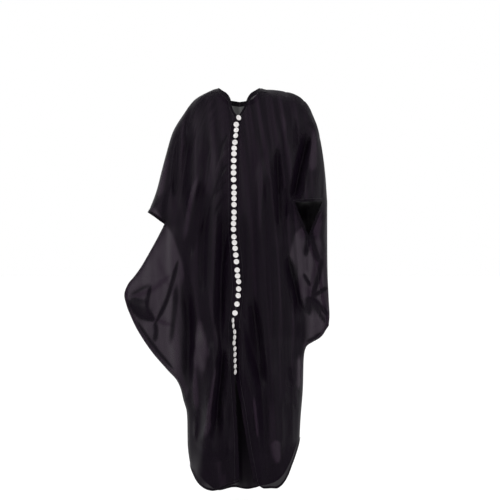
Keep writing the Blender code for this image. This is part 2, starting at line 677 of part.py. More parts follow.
def make_bands(robe, positions, materials):
    """Bindings and hems lie outside the cloth; button bands and seam allowances lie inside it."""
    last_row, last_column, whole = ROWS - 1, COLUMNS - 1, robe.points
    strip_first = robe.strip_first
    bands = {
        "neck_binding": (
            whole,
            1,
            lambda b, r, c: b in (FRONT_LEFT, YOKE_BLOCK, BACK_LEFT, BACK_RIGHT) and r == 0 and c <= NECK_COLUMNS,
        ),
        "button_band_left": (positions["front_left"], -1, lambda b, r, c: b == FRONT_LEFT and c == 0 and r > 0),
        "button_band_right": (
            positions["front_right"],
            -1,
            lambda b, r, c: c == 0 and (b == LOWER_RIGHT or (b == YOKE_BLOCK and r > 0)),
        ),
        "hem_left": (positions["front_left"], 1, lambda b, r, c: b == FRONT_LEFT and r == last_row),
        "hem_right": (positions["front_right"], 1, lambda b, r, c: b == LOWER_RIGHT and r == last_row),
        "hem_back": (positions["back"], 1, lambda b, r, c: b in (BACK_LEFT, BACK_RIGHT) and r == last_row),
        "sleeve_hem_left": (
            whole,
            1,
            lambda b, r, c: b in (FRONT_LEFT, BACK_LEFT) and c == last_column and r <= SLEEVE_ROWS,
        ),
        "sleeve_hem_right": (
            whole,
            1,
            lambda b, r, c: (b == YOKE_BLOCK and c == last_column)
            or (b == LOWER_RIGHT and c == last_column and r <= MOUTH_ROWS)
            or (b == STRIP and c == 0 and strip_first - 1 <= r <= strip_first + MOUTH_ROWS),
        ),
        "seam_allowance_left": (
            positions["front_left"],
            -1,
            lambda b, r, c: b == FRONT_LEFT and c == last_column and SLEEVE_ROWS < r < last_row,
        ),
        "seam_allowance_right": (
            positions["front_right"],
            -1,
            lambda b, r, c: b == LOWER_RIGHT and c == last_column and MOUTH_ROWS < r < last_row,
        ),
    }
    for name, (points, side, rule) in bands.items():
        shell(name, points, robe.out, band_cells(robe, rule), side * BAND_LIFT, BAND, materials["black_binding"])


def make_buttons(materials):
    """Buttons down the meeting front edges, each square to the cloth under it and just clear of it."""
    fronts = [bpy.data.objects[name] for name in ("front_left", "front_right", "neck_binding")]
    edge = spline(EDGE_LEFT, 400)
    z = FIRST_BUTTON_Z
    for k, (gap, turn, nod) in enumerate((gap, run.turn, run.nod) for run in BUTTON_RUNS for gap in run.gaps):
        x = np.interp(-z, -edge[:, 1], edge[:, 0]) + TURNED_OUT * max(math.sin(math.radians(turn)), 0)

        def on_cloth(dx, dz):
            for clear in (0, 3 * EDGE_GAP, -3 * EDGE_GAP):  # to one side of the gap between the edges
                start = Vector((x + dx + clear, -0.6, z + dz))
                hits = [obj.ray_cast(start, Vector((0, 1, 0))) for obj in fronts]
                near = [hit[1].y for hit in hits if hit[0]]
                if near:
                    return Vector((x + dx, min(near), z + dz))

        reach = 0.007
        side_a, side_b = on_cloth(-reach, 0), on_cloth(reach, 0)
        high, low = on_cloth(-0.004, 0 if k == 0 else reach), on_cloth(-0.004, -reach)
        normal = (side_b - side_a).cross(high - low).normalized()
        if normal.y > 0:
            normal.negate()
        middle = (side_a + side_b) / 2
        normal.rotate(Matrix.Rotation(math.radians(nod), 3, "X") @ Matrix.Rotation(math.radians(-turn), 3, "Z"))
        frame = normal.to_track_quat("Z", "Y").to_matrix().to_4x4()
        lift = 0
        for radius in np.linspace(0.1, 1, 10) * BUTTON_RADIUS:
            for step in range(48):
                angle = 2 * np.pi * step / 48
                spot = middle + frame.to_3x3() @ Vector((radius * np.cos(angle), radius * np.sin(angle), 0))
                for obj in fronts:
                    hit, place, _, _ = obj.ray_cast(spot + normal * 0.05, -normal)
                    if hit:
                        lift = max(lift, (place - middle).dot(normal))
        place = Matrix.Translation(middle + normal * (lift + SEAM_GAP)) @ frame
        lathe(f"button_{k + 1:02d}", BUTTON_PROFILE, place, BUTTON_SIDES, materials["white_button"])
        z -= gap


def main():
    for obj in list(bpy.data.objects):
        bpy.data.objects.remove(obj)
    materials = make_materials()
    robe = Robe()
    positions = {name: robe.pulled_in(name) for name in ("front_left", "front_right", "back")}
    for name, points in positions.items():
        cells = [cell for cell, panel in zip(robe.cells, robe.panel) if panel == name]
        shell(name, points, robe.out, cells, 0, CLOTH, materials["black_chiffon"])
    make_bands(robe, positions, materials)
    bpy.context.view_layer.update()
    make_buttons(materials)


main()
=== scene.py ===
"""Looks for the grand boubou robe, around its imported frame.

The cloth is laid out with the same tables as its solids, at a finer pitch and with its smaller folds.
Metres, +Z up, the front facing -Y.
"""

from collections import namedtuple

import bpy
import numpy as np
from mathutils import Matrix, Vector


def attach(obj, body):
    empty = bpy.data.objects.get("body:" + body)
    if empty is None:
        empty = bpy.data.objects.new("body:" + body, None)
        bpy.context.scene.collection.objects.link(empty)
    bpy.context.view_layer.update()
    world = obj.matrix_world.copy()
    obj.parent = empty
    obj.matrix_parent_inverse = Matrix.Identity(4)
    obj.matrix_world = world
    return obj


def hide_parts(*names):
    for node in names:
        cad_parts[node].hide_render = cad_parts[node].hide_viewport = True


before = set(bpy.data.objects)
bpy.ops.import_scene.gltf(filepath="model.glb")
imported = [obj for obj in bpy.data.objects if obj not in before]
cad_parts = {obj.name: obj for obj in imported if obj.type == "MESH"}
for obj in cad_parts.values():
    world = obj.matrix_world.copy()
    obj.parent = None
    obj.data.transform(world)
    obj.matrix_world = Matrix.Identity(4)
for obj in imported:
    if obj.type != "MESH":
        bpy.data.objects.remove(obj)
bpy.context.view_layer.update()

# ---- sizes
BUTTON_BAND_WIDTH = 0.022
BINDING_WIDTH = 0.017
EDGE_GAP = 0.0010  # each front edge, from the line where they meet
HEM_WIDTH = 0.008
SLEEVE_HEM_WIDTH = 0.010
SEAM_WIDTH = 0.014

COLUMNS = 15  # across half a panel
NECK_COLUMNS = 6  # of those, the ones that start from the neckline
ROWS = 30  # down a panel
SLEEVE_ROWS = 5  # of those, the ones that end at the left sleeve's opening
MOUTH_ROWS = 4  # and the ones beside the right sleeve's mouth
YOKE_ROWS = 6  # of the right front above its mouth

BAND_LIFT = 0.0009  # from a panel to the middle of a band that lies on it
STITCH_PITCH, STITCH_LENGTH, STITCH_RADIUS, STITCH_LIFT = 0.0040, 0.0027, 0.00032, 0.0022
STITCH_SIDES = 4
SHANK_RADIUS, SHANK_LENGTH, SHANK_IN_BUTTON, SHANK_SIDES = 0.0011, 0.0035, 0.0010, 8
FOOT_DROP = 0.0002  # from a button's back to where its cord lies
LOOP_RADIUS, LOOP_SIDES, LOOP_POINTS = 0.0007, 6, 13
LOOP_CLEAR = 0.0006  # between a button's edge and the cord round it
LOOP_TURN = 75  # degrees that the cord goes up and down round a button
LOOP_IN, LOOP_DOWN = 0.0030, 0.0010  # its ends go in under the button and down to the cloth

FLOOR_Z, FLOOR_HALF = -1.47, 30.0
WORLD_LIGHT = 1.0
Light = namedtuple("Light", "name place size power")
LIGHTS = [
    Light("key", (-2.4, -2.4, 1.2), 1.3, 42),
    Light("fill", (2.2, -2.4, 0.4), 2.2, 30),
    Light("top", (0.0, 0.6, 2.6), 2.6, 16),
]
LIGHTS_AIM = (0, 0, -0.7)
CAMERA_DISTANCE = 3.5
FRAME_WIDTH = 1.74  # what the camera takes in at the robe
CAMERA_PLACE = (0.035, -CAMERA_DISTANCE, -0.555)
SENSOR_WIDTH = 36

CURVE_POINTS = 400  # on a finely drawn curve
FLAT_DEPTH = 0.06  # where the robe is thinner than this, its folds die out

Point = namedtuple("Point", "x z")


def table(kind, *rows, plain=0):
    """Rows of kind in metres, from rows in millimetres. The last plain columns of a row have no unit."""
    lengths = len(kind._fields) - plain
    return [kind(*(v / 1000 for v in row[:lengths]), *row[lengths:]) for row in rows]


def points(*places):
    return table(Point, *places)


# ---- outline
# Neck point to the end of the sleeve, over the shoulder and down the outside of the arm.
SHOULDER_LEFT = points(
    (-77, 6), (-115, -4), (-147, -22), (-172, -53), (-200, -88), (-226, -126), (-249, -193), (-277, -298),
    (-303, -393), (-320, -424),
)
SHOULDER_RIGHT = points(
    (72, 6), (120, -2), (172, -7), (205, -20), (235, -52), (256, -90), (268, -126), (284, -193),
    (298, -298), (305, -388),
)
# The left sleeve's opening runs between the end of the shoulder line and the top of the side seam.
SLEEVE_END_LEFT = points((-320, -424), (-291, -443), (-262, -466))
# Side seam to the corner of the hem. The left one is drawn out to where a hand would lift it.
SEAM_LEFT = points(
    (-262, -466), (-292, -525), (-345, -620), (-398, -706), (-374, -788), (-315, -893), (-259, -963),
    (-211, -1022), (-198, -1072), (-184, -1130), (-182, -1243), (-172, -1308),
)
SEAM_RIGHT = points(
    (305, -388), (306, -507), (308, -630), (312, -718), (315, -796), (287, -857), (231, -896), (223, -935),
    (220, -1033), (211, -1150), (208, -1215),
)
# Neckline: bottom of the front slit up to each neck point, and centre back to each neck point.
NECK_LEFT = points((-6, -101), (-24, -75), (-34, -32), (-77, 6))
NECK_RIGHT = points((-6, -101), (14, -70), (31, -26), (72, 6))
NAPE_LEFT = points((-2, -30), (-40, -24), (-77, 6))
NAPE_RIGHT = points((-2, -30), (36, -24), (72, 6))
# Front edges, top to hem: they meet under the buttons and part below the last one.
EDGE_LEFT = points(
    (-6, -101), (-16, -160), (-20, -300), (-20, -480), (-11, -590), (-6, -670), (-10, -735), (-20, -800),
    (-17, -960), (-11, -1080), (-3, -1230), (0, -1335),
)
EDGE_RIGHT = EDGE_LEFT[:9] + points((4, -1080), (28, -1230), (46, -1332))
CENTRE_BACK = points((-2, -30), (0, -500), (8, -1000), (12, -1412))
# Hems, from the front edge or the centre back out to the side seam.
HEM_LEFT = points((0, -1335), (-40, -1350), (-88, -1368), (-138, -1345), (-172, -1308))
HEM_RIGHT = points((46, -1332), (80, -1352), (122, -1356), (155, -1330), (180, -1280), (208, -1215))
HEM_BACK_LEFT = points((12, -1412), (-60, -1416), (-115, -1396), (-150, -1355), (-172, -1308))
HEM_BACK_RIGHT = points((12, -1412), (80, -1408), (140, -1378), (182, -1305), (208, -1215))

# The right sleeve opens forwards, with an outer and an inner corner to its mouth. Below the shoulder the back
# panel comes round to the front as far as the side seam: a table of how far in from the outline that lies.
MOUTH_OUTER, MOUTH_INNER = points((283, -388), (188, -394))
Inset = namedtuple("Inset", "z width")
SEAM_INSETS = table(
    Inset,
    (-806, 0), (-735, 15), (-634, 24), (-602, 32), (-505, 70), (-388, 22), (-298, 8), (-193, 0),
)
YOKE = points((-20, -348), (100, -360), (188, -394))  # front edge to the mouth's inner corner

# ---- depth
# One row for each height. front and back are the depths at the middle, core is the half width of the
# filled-out middle and wing the depth beside it. Each side seam has its own radius of rounding and its own y.
Section = namedtuple("Section", "z centre front back core wing left_radius right_radius left_y right_y")
SECTIONS = table(
    Section,
    (20, 0, 85, 90, 240, 45, 40, 40, 0, 0),
    (-100, 0, 112, 105, 250, 45, 50, 50, 0, 0),
    (-200, 0, 138, 115, 250, 50, 55, 55, 0, 0),
    (-320, 0, 142, 115, 235, 50, 55, 60, -5, 5),
    (-450, 0, 138, 115, 205, 40, 28, 50, -10, 20),
    (-580, 0, 138, 125, 180, 24, 14, 30, -25, 35),
    (-700, 0, 140, 138, 172, 20, 10, 18, -40, 40),
    (-850, 2, 143, 150, 175, 22, 12, 14, -30, 30),
    (-1000, 6, 146, 158, 178, 50, 40, 60, -10, 10),
    (-1150, 10, 150, 162, 180, 60, 70, 70, 0, 5),
    (-1400, 14, 152, 160, 175, 60, 70, 60, 0, 5),
)
SHOULDER_RADIUS = 0.050
BLEND = 3.5  # how sharply the rounding of an edge gives way to the full depth

# The right elbow is bent, so its sleeve stands forward and ends in the mouth.
ELBOW = Point(0.240, -0.395)
ELBOW_REACH = 0.045
ELBOW_HALF_WIDTH = 0.060
ELBOW_RISE = 0.200  # height above the elbow over which the sleeve comes forward
ELBOW_DROP = 0.045  # and below it, over which the cloth falls back

# Largest folds. rise is how far a ridge stands out from the panel; a trough's is negative.
Fold = namedtuple("Fold", "x_top z_top x_low z_low width_top width_low rise")
FOLD_FADE = 0.3  # share of a fold's length over which it starts and ends
HEM_FOLD_Z = -1.3  # a fold that goes below this runs on to the hem
FRONT_FOLDS = table(
    Fold,
    (-168, -120, -215, -440, 16, 22, -20),
    (-140, -200, -162, -560, 22, 26, 16),
    (-80, -260, -115, -860, 20, 32, 20),
    (-46, -340, -75, -920, 18, 26, -16),
    (-180, -660, -178, -1060, 20, 22, -24),
    (-72, -820, -128, -1320, 20, 30, 30),
    (-52, -820, -88, -1250, 16, 22, -24),
    (238, -110, 184, -420, 16, 20, -34),
    (124, -180, 146, -560, 16, 22, -18),
    (74, -220, 82, -800, 26, 32, 14),
    (160, -540, 212, -820, 18, 24, -26),
    (10, -720, 18, -1180, 16, 24, 30),
    (40, -680, 78, -1060, 14, 22, -32),
    (30, -900, 76, -1400, 20, 30, 28),
    (140, -920, 142, -1420, 28, 36, 20),
)
BACK_FOLDS = table(
    Fold,
    (-170, -110, -210, -460, 18, 24, -22),
    (-110, -160, -150, -900, 22, 34, 18),
    (-60, -240, -85, -1380, 20, 34, -26),
    (-15, -300, -30, -1380, 22, 36, 26),
    (30, -200, 30, -1380, 20, 32, -24),
    (75, -260, 85, -1380, 22, 34, 24),
    (130, -140, 140, -1200, 20, 30, -22),
    (200, -110, 190, -480, 18, 24, 18),
    (-120, -800, -130, -1380, 22, 34, 24),
)


# ---- curves and tables
def run_along(path):
    """How far along a path each of its points lies."""
    return np.concatenate([[0], np.cumsum(np.linalg.norm(np.diff(path, axis=0), axis=1))])


def picked(at, along, path):
    """Points at the given places along a path."""
    return np.stack([np.interp(at, along, column) for column in path.T], axis=1)


def spline(points, count):
    """count points, evenly spaced in arc length, on a smooth curve through the given ones."""
    points = np.array(points, float)
    chord = run_along(points)
    fine = np.linspace(0, chord[-1], CURVE_POINTS)
    curve = np.stack([smooth(fine, chord, column) for column in points.T], axis=1)
    length = run_along(curve)
    return picked(np.linspace(0, length[-1], count), length, curve)


def smooth(at, knots, values):
    """Cubic interpolation without overshoot between knots in rising order."""
    knots, values = np.asarray(knots, float), np.asarray(values, float)
    step = np.diff(knots)
    slope = np.diff(values) / step
    mean = 2 * slope[:-1] * slope[1:] / (slope[:-1] + slope[1:] + 1e-12)
    inner = np.where(slope[:-1] * slope[1:] > 0, mean, 0)
    tangent = np.concatenate([[slope[0]], inner, [slope[-1]]])
    at = np.clip(at, knots[0], knots[-1])
    i = np.clip(np.searchsorted(knots, at, side="right") - 1, 0, len(step) - 1)
    t = (at - knots[i]) / step[i]
    return (
        values[i] * (1 + 2 * t) * (1 - t) ** 2
        + tangent[i] * step[i] * t * (1 - t) ** 2
        + values[i + 1] * t**2 * (3 - 2 * t)
        + tangent[i + 1] * step[i] * t**2 * (t - 1)
    )


def section(z, column):
    """A column of SECTIONS at any height."""
    rows = SECTIONS[::-1]
    return smooth(z, [row.z for row in rows], [getattr(row, column) for row in rows])


def ease(t):
    t = np.clip(t, 0, 1)
    return t * t * (3 - 2 * t)


def distance(x, z, curve):
    """Distance in the X-Z plane from each point to a polyline."""
    start, run = curve[:-1], np.diff(curve, axis=0)
    px, pz = x[..., None] - start[:, 0], z[..., None] - start[:, 1]
    t = np.clip((px * run[:, 0] + pz * run[:, 1]) / (run**2).sum(axis=1), 0, 1)
    return np.sqrt(((px - t * run[:, 0]) ** 2 + (pz - t * run[:, 1]) ** 2).min(axis=-1))


# ---- depth of the robe
SIDE_POINTS = 90
LEFT_ARM, RIGHT_ARM = spline(SHOULDER_LEFT, SIDE_POINTS), spline(SHOULDER_RIGHT, SIDE_POINTS)
LEFT_SEAM, RIGHT_SEAM = spline(SEAM_LEFT, SIDE_POINTS), spline(SEAM_RIGHT, SIDE_POINTS)


def fold_height(x, z, folds):
    """How far the folds stand out at each point."""
    height = np.zeros_like(x)
    for f in folds:
        down = np.clip((z - f.z_top) / (f.z_low - f.z_top), 0, 1)
        middle = f.x_top + (f.x_low - f.x_top) * down
        width = f.width_top + (f.width_low - f.width_top) * down
        to_hem = f.z_low < HEM_FOLD_Z
        fade = ease(down / FOLD_FADE) * (1 if to_hem else ease((1 - down) / FOLD_FADE))
        height += f.rise * fade * np.exp(-(((x - middle) / width) ** 2))
    return height


def thickness(x, z, face):
    """Depth of the robe in front of (face -1) or behind (face 1) the surface that its seams lie in."""
    centre = section(z, "centre")
    full = section(z, "front" if face < 0 else "back")
    wing = section(z, "wing")
    across = np.abs(x - centre) / section(z, "core")
    full = wing + (full - wing) / (1 + across**3)
    left_radius, right_radius = section(z, "left_radius"), section(z, "right_radius")
    edges = [
        (LEFT_ARM, SHOULDER_RADIUS),
        (RIGHT_ARM, SHOULDER_RADIUS),
        (LEFT_SEAM, left_radius),
        (RIGHT_SEAM, right_radius),
    ]
    total = full**-BLEND
    for curve, radius in edges:
        total += (np.sqrt(2 * radius * distance(x, z, curve)) + 1e-5) ** -BLEND
    return total ** (-1 / BLEND)


def seam_plane(x, z):
    """y of the surface that the shoulder line and both side seams lie in."""
    centre = section(z, "centre")
    left = ease((centre - x) / 0.30)
    right = ease((x - centre) / 0.30)
    return left * section(z, "left_y") + right * section(z, "right_y")


def elbow(x, z):
    """How far the bent right arm holds its sleeve forward."""
    above = ease(1 - (z - ELBOW.z) / ELBOW_RISE)
    below = ease(1 - (ELBOW.z - z) / ELBOW_DROP)
    beside = np.exp(-(((x - ELBOW.x) / ELBOW_HALF_WIDTH) ** 2))
    return ELBOW_REACH * np.where(z > ELBOW.z, above, below) * beside


def cloth_y(x, z, face):
    """y of a panel's middle surface: face -1 is the front and 1 the back."""
    x, z = np.asarray(x, float), np.asarray(z, float)
    depth = thickness(x, z, face)
    room = np.clip(depth / FLAT_DEPTH, 0, 1)
    folds = fold_height(x, z, FRONT_FOLDS if face < 0 else BACK_FOLDS)
    depth = depth + room * folds + (room * elbow(x, z) if face < 0 else 0)
    return seam_plane(x, z) + face * depth


# ---- panels
def column_shares():
    """Where each column meets the hem, as a share of it from the centre line out; closer towards the seam."""
    a = np.linspace(0, 1, COLUMNS + 1)
    return 0.55 * a + 0.45 * np.sin(a * np.pi / 2)


def at_shares(points, shares):
    """Points on a smooth curve at the given shares of its length."""
    return picked(shares, np.linspace(0, 1, CURVE_POINTS), spline(points, CURVE_POINTS))


def split(opening, seam, count_a, count):
    """count + 1 points that cross a sleeve's opening in count_a steps, then its hem's width down the seam,
    then the rest of the seam."""
    steps = np.linspace(SLEEVE_HEM_WIDTH / length_of(seam), 1, count - count_a)
    return np.concatenate([spline(opening, count_a + 1), at_shares(seam, steps)])


def length_of(points):
    return np.linalg.norm(np.diff(spline(points, CURVE_POINTS), axis=0), axis=1).sum()


def neckline(neck, shoulder):
    """The top edge of a panel: the neckline, then the shoulder, whose first step is as wide as the neck's
    binding and whose last is as wide as the sleeve's hem."""
    length = length_of(shoulder)
    steps = np.linspace(BINDING_WIDTH / length, 1 - SLEEVE_HEM_WIDTH / length, COLUMNS - NECK_COLUMNS - 1)
    return np.concatenate([spline(neck, NECK_COLUMNS + 1), at_shares(shoulder, steps), [shoulder[-1]]])


def slide(grid, width, target, anchor, towards):
    """Moves one line of the grid to be width from its edge, towards the line after it."""
    way = grid[towards] - grid[anchor]
    length = np.linalg.norm(way, axis=-1, keepdims=True)
    grid[target] = grid[anchor] + way * np.minimum(width / length, 0.5)


def blend(top, low, inner, outer):
    """A grid of points in the X-Z plane between four edges, as rows from the inner edge out."""
    u, v = np.linspace(0, 1, len(top))[None, :, None], np.linspace(0, 1, len(inner))[:, None, None]
    corners = (1 - u) * (1 - v) * top[0] + u * (1 - v) * top[-1] + (1 - u) * v * low[0] + u * v * low[-1]
    return relax((1 - v) * top + v * low + (1 - u) * inner[:, None] + u * outer[:, None] - corners)


def relax(grid, rounds=400):
    """Evens out a grid inside its fixed edges over a set number of rounds, as conformal lines would run."""
    for _ in range(rounds):
        left, right, up, down = grid[1:-1, :-2], grid[1:-1, 2:], grid[:-2, 1:-1], grid[2:, 1:-1]
        across, along = (right - left) / 2, (down - up) / 2
        a = (along**2).sum(axis=-1, keepdims=True)
        b = (across * along).sum(axis=-1, keepdims=True)
        g = (across**2).sum(axis=-1, keepdims=True)
        twist = (grid[2:, 2:] + grid[:-2, :-2] - grid[2:, :-2] - grid[:-2, 2:]) / 4
        new = (a * (left + right) + g * (up + down) - 2 * b * twist) / (2 * (a + g) + 1e-12)
        grid[1:-1, 1:-1] += 0.8 * (new - grid[1:-1, 1:-1])
    return grid


def seam_inset(z):
    return np.interp(z, *zip(*SEAM_INSETS))


def lay_out():
    """The panels as grids in the X-Z plane: face and points. Grids that meet share their edge points."""
    shares = column_shares()
    down = np.linspace(0, 1, ROWS + 1)
    centre_down = 0.62 * down + 0.38 * down**2.2  # closer towards the shoulder

    left_outer = split(SLEEVE_END_LEFT, SEAM_LEFT, SLEEVE_ROWS, ROWS)
    right_outer = split(SEAM_RIGHT[:2], SEAM_RIGHT[1:], MOUTH_ROWS, ROWS)

    nape_left = neckline(NAPE_LEFT, SHOULDER_LEFT)
    nape_right = neckline(NAPE_RIGHT, SHOULDER_RIGHT)
    neck_left = neckline(NECK_LEFT, SHOULDER_LEFT)
    neck_right = neckline(NECK_RIGHT, SHOULDER_RIGHT)
    neck_right[:, 0] -= np.where(neck_right[:, 0] > 0.25, seam_inset(neck_right[:, 1]), 0)

    centre_back = at_shares(CENTRE_BACK, centre_down)
    back_left = blend(nape_left, at_shares(HEM_BACK_LEFT, shares), centre_back, left_outer)
    back_right = blend(nape_right, at_shares(HEM_BACK_RIGHT, shares), centre_back, right_outer)
    front_left = blend(neck_left, at_shares(HEM_LEFT, shares), at_shares(EDGE_LEFT, centre_down), left_outer)

    seam = right_outer.copy()
    seam[:, 0] -= seam_inset(seam[:, 1])
    side = seam.copy()
    side[: MOUTH_ROWS + 1] = np.linspace(MOUTH_INNER, seam[MOUTH_ROWS], MOUTH_ROWS + 1)
    edge = spline(EDGE_RIGHT, CURVE_POINTS)
    yoke_end = np.searchsorted(-edge[:, 1], -YOKE[0].z) / (CURVE_POINTS - 1)
    yoke_edge = at_shares(EDGE_RIGHT, np.linspace(0, yoke_end, YOKE_ROWS + 1))
    yoke_line = at_shares([Point(*yoke_edge[-1])] + YOKE[1:], shares)
    yoke = blend(neck_right, yoke_line, yoke_edge, np.linspace(neck_right[-1], MOUTH_INNER, YOKE_ROWS + 1))
    lower_edge = at_shares(EDGE_RIGHT, np.linspace(yoke_end, 1, ROWS + 1))
    lower = blend(yoke_line, at_shares(HEM_RIGHT, shares), lower_edge, side)

    outline = np.concatenate([nape_right[NECK_COLUMNS:], right_outer[1:]])
    strip_edge = np.concatenate([neck_right[NECK_COLUMNS:], seam[1:]])
    apart = np.flatnonzero(np.abs(outline - strip_edge).max(axis=1) > 1e-6)
    rows = slice(apart[0] - 1, apart[-1] + 2)
    width = np.linalg.norm(outline - strip_edge, axis=1)[rows, None]
    steps = np.minimum(0.5, SLEEVE_HEM_WIDTH / np.maximum(width, 1e-6))
    steps = np.concatenate([0 * steps, steps, 0 * steps + 1], axis=1)[..., None]
    strip = (1 - steps) * strip_edge[rows][:, None] + steps * outline[rows][:, None]

    for grid in (front_left, yoke, back_left, back_right):
        line = slice(NECK_COLUMNS + 2)
        slide(grid, BINDING_WIDTH, np.s_[1, line], np.s_[0, line], np.s_[2, line])
    for grid in (front_left, lower, back_left, back_right):
        slide(grid, HEM_WIDTH, np.s_[-2], np.s_[-1], np.s_[-3])
    for grid in (front_left, yoke, lower):
        slide(grid, BUTTON_BAND_WIDTH, np.s_[1:, 1], np.s_[1:, 0], np.s_[1:, 2])
    ends = [(front_left, SLEEVE_ROWS), (lower, MOUTH_ROWS), (back_left, SLEEVE_ROWS), (back_right, 0)]
    for grid, end in ends:
        slide(grid, SLEEVE_HEM_WIDTH, np.s_[1 : end + 2, -2], np.s_[1 : end + 2, -1], np.s_[1 : end + 2, -3])
        slide(grid, SEAM_WIDTH, np.s_[end + 2 :, -2], np.s_[end + 2 :, -1], np.s_[end + 2 :, -3])
    slide(yoke, SLEEVE_HEM_WIDTH, np.s_[1:, -2], np.s_[1:, -1], np.s_[1:, -3])
    front_left[:, 0, 0] -= EDGE_GAP
    yoke[:, 0, 0] += EDGE_GAP
    lower[:, 0, 0] += EDGE_GAP
    lower[0] = yoke[-1]
    return [
        (-1, front_left),
        (-1, yoke),
        (-1, lower),
        (1, back_left),
        (1, back_right),
        (-1, strip),
    ]


FRONT_LEFT, YOKE_BLOCK, LOWER_RIGHT, BACK_LEFT, BACK_RIGHT, STRIP = range(6)
GRIDS = lay_out()
# The strip's row at the mouth's outer corner.
STRIP_FIRST = int(np.abs(GRIDS[STRIP][1][:, -1, 1] - MOUTH_OUTER.z).argmin())
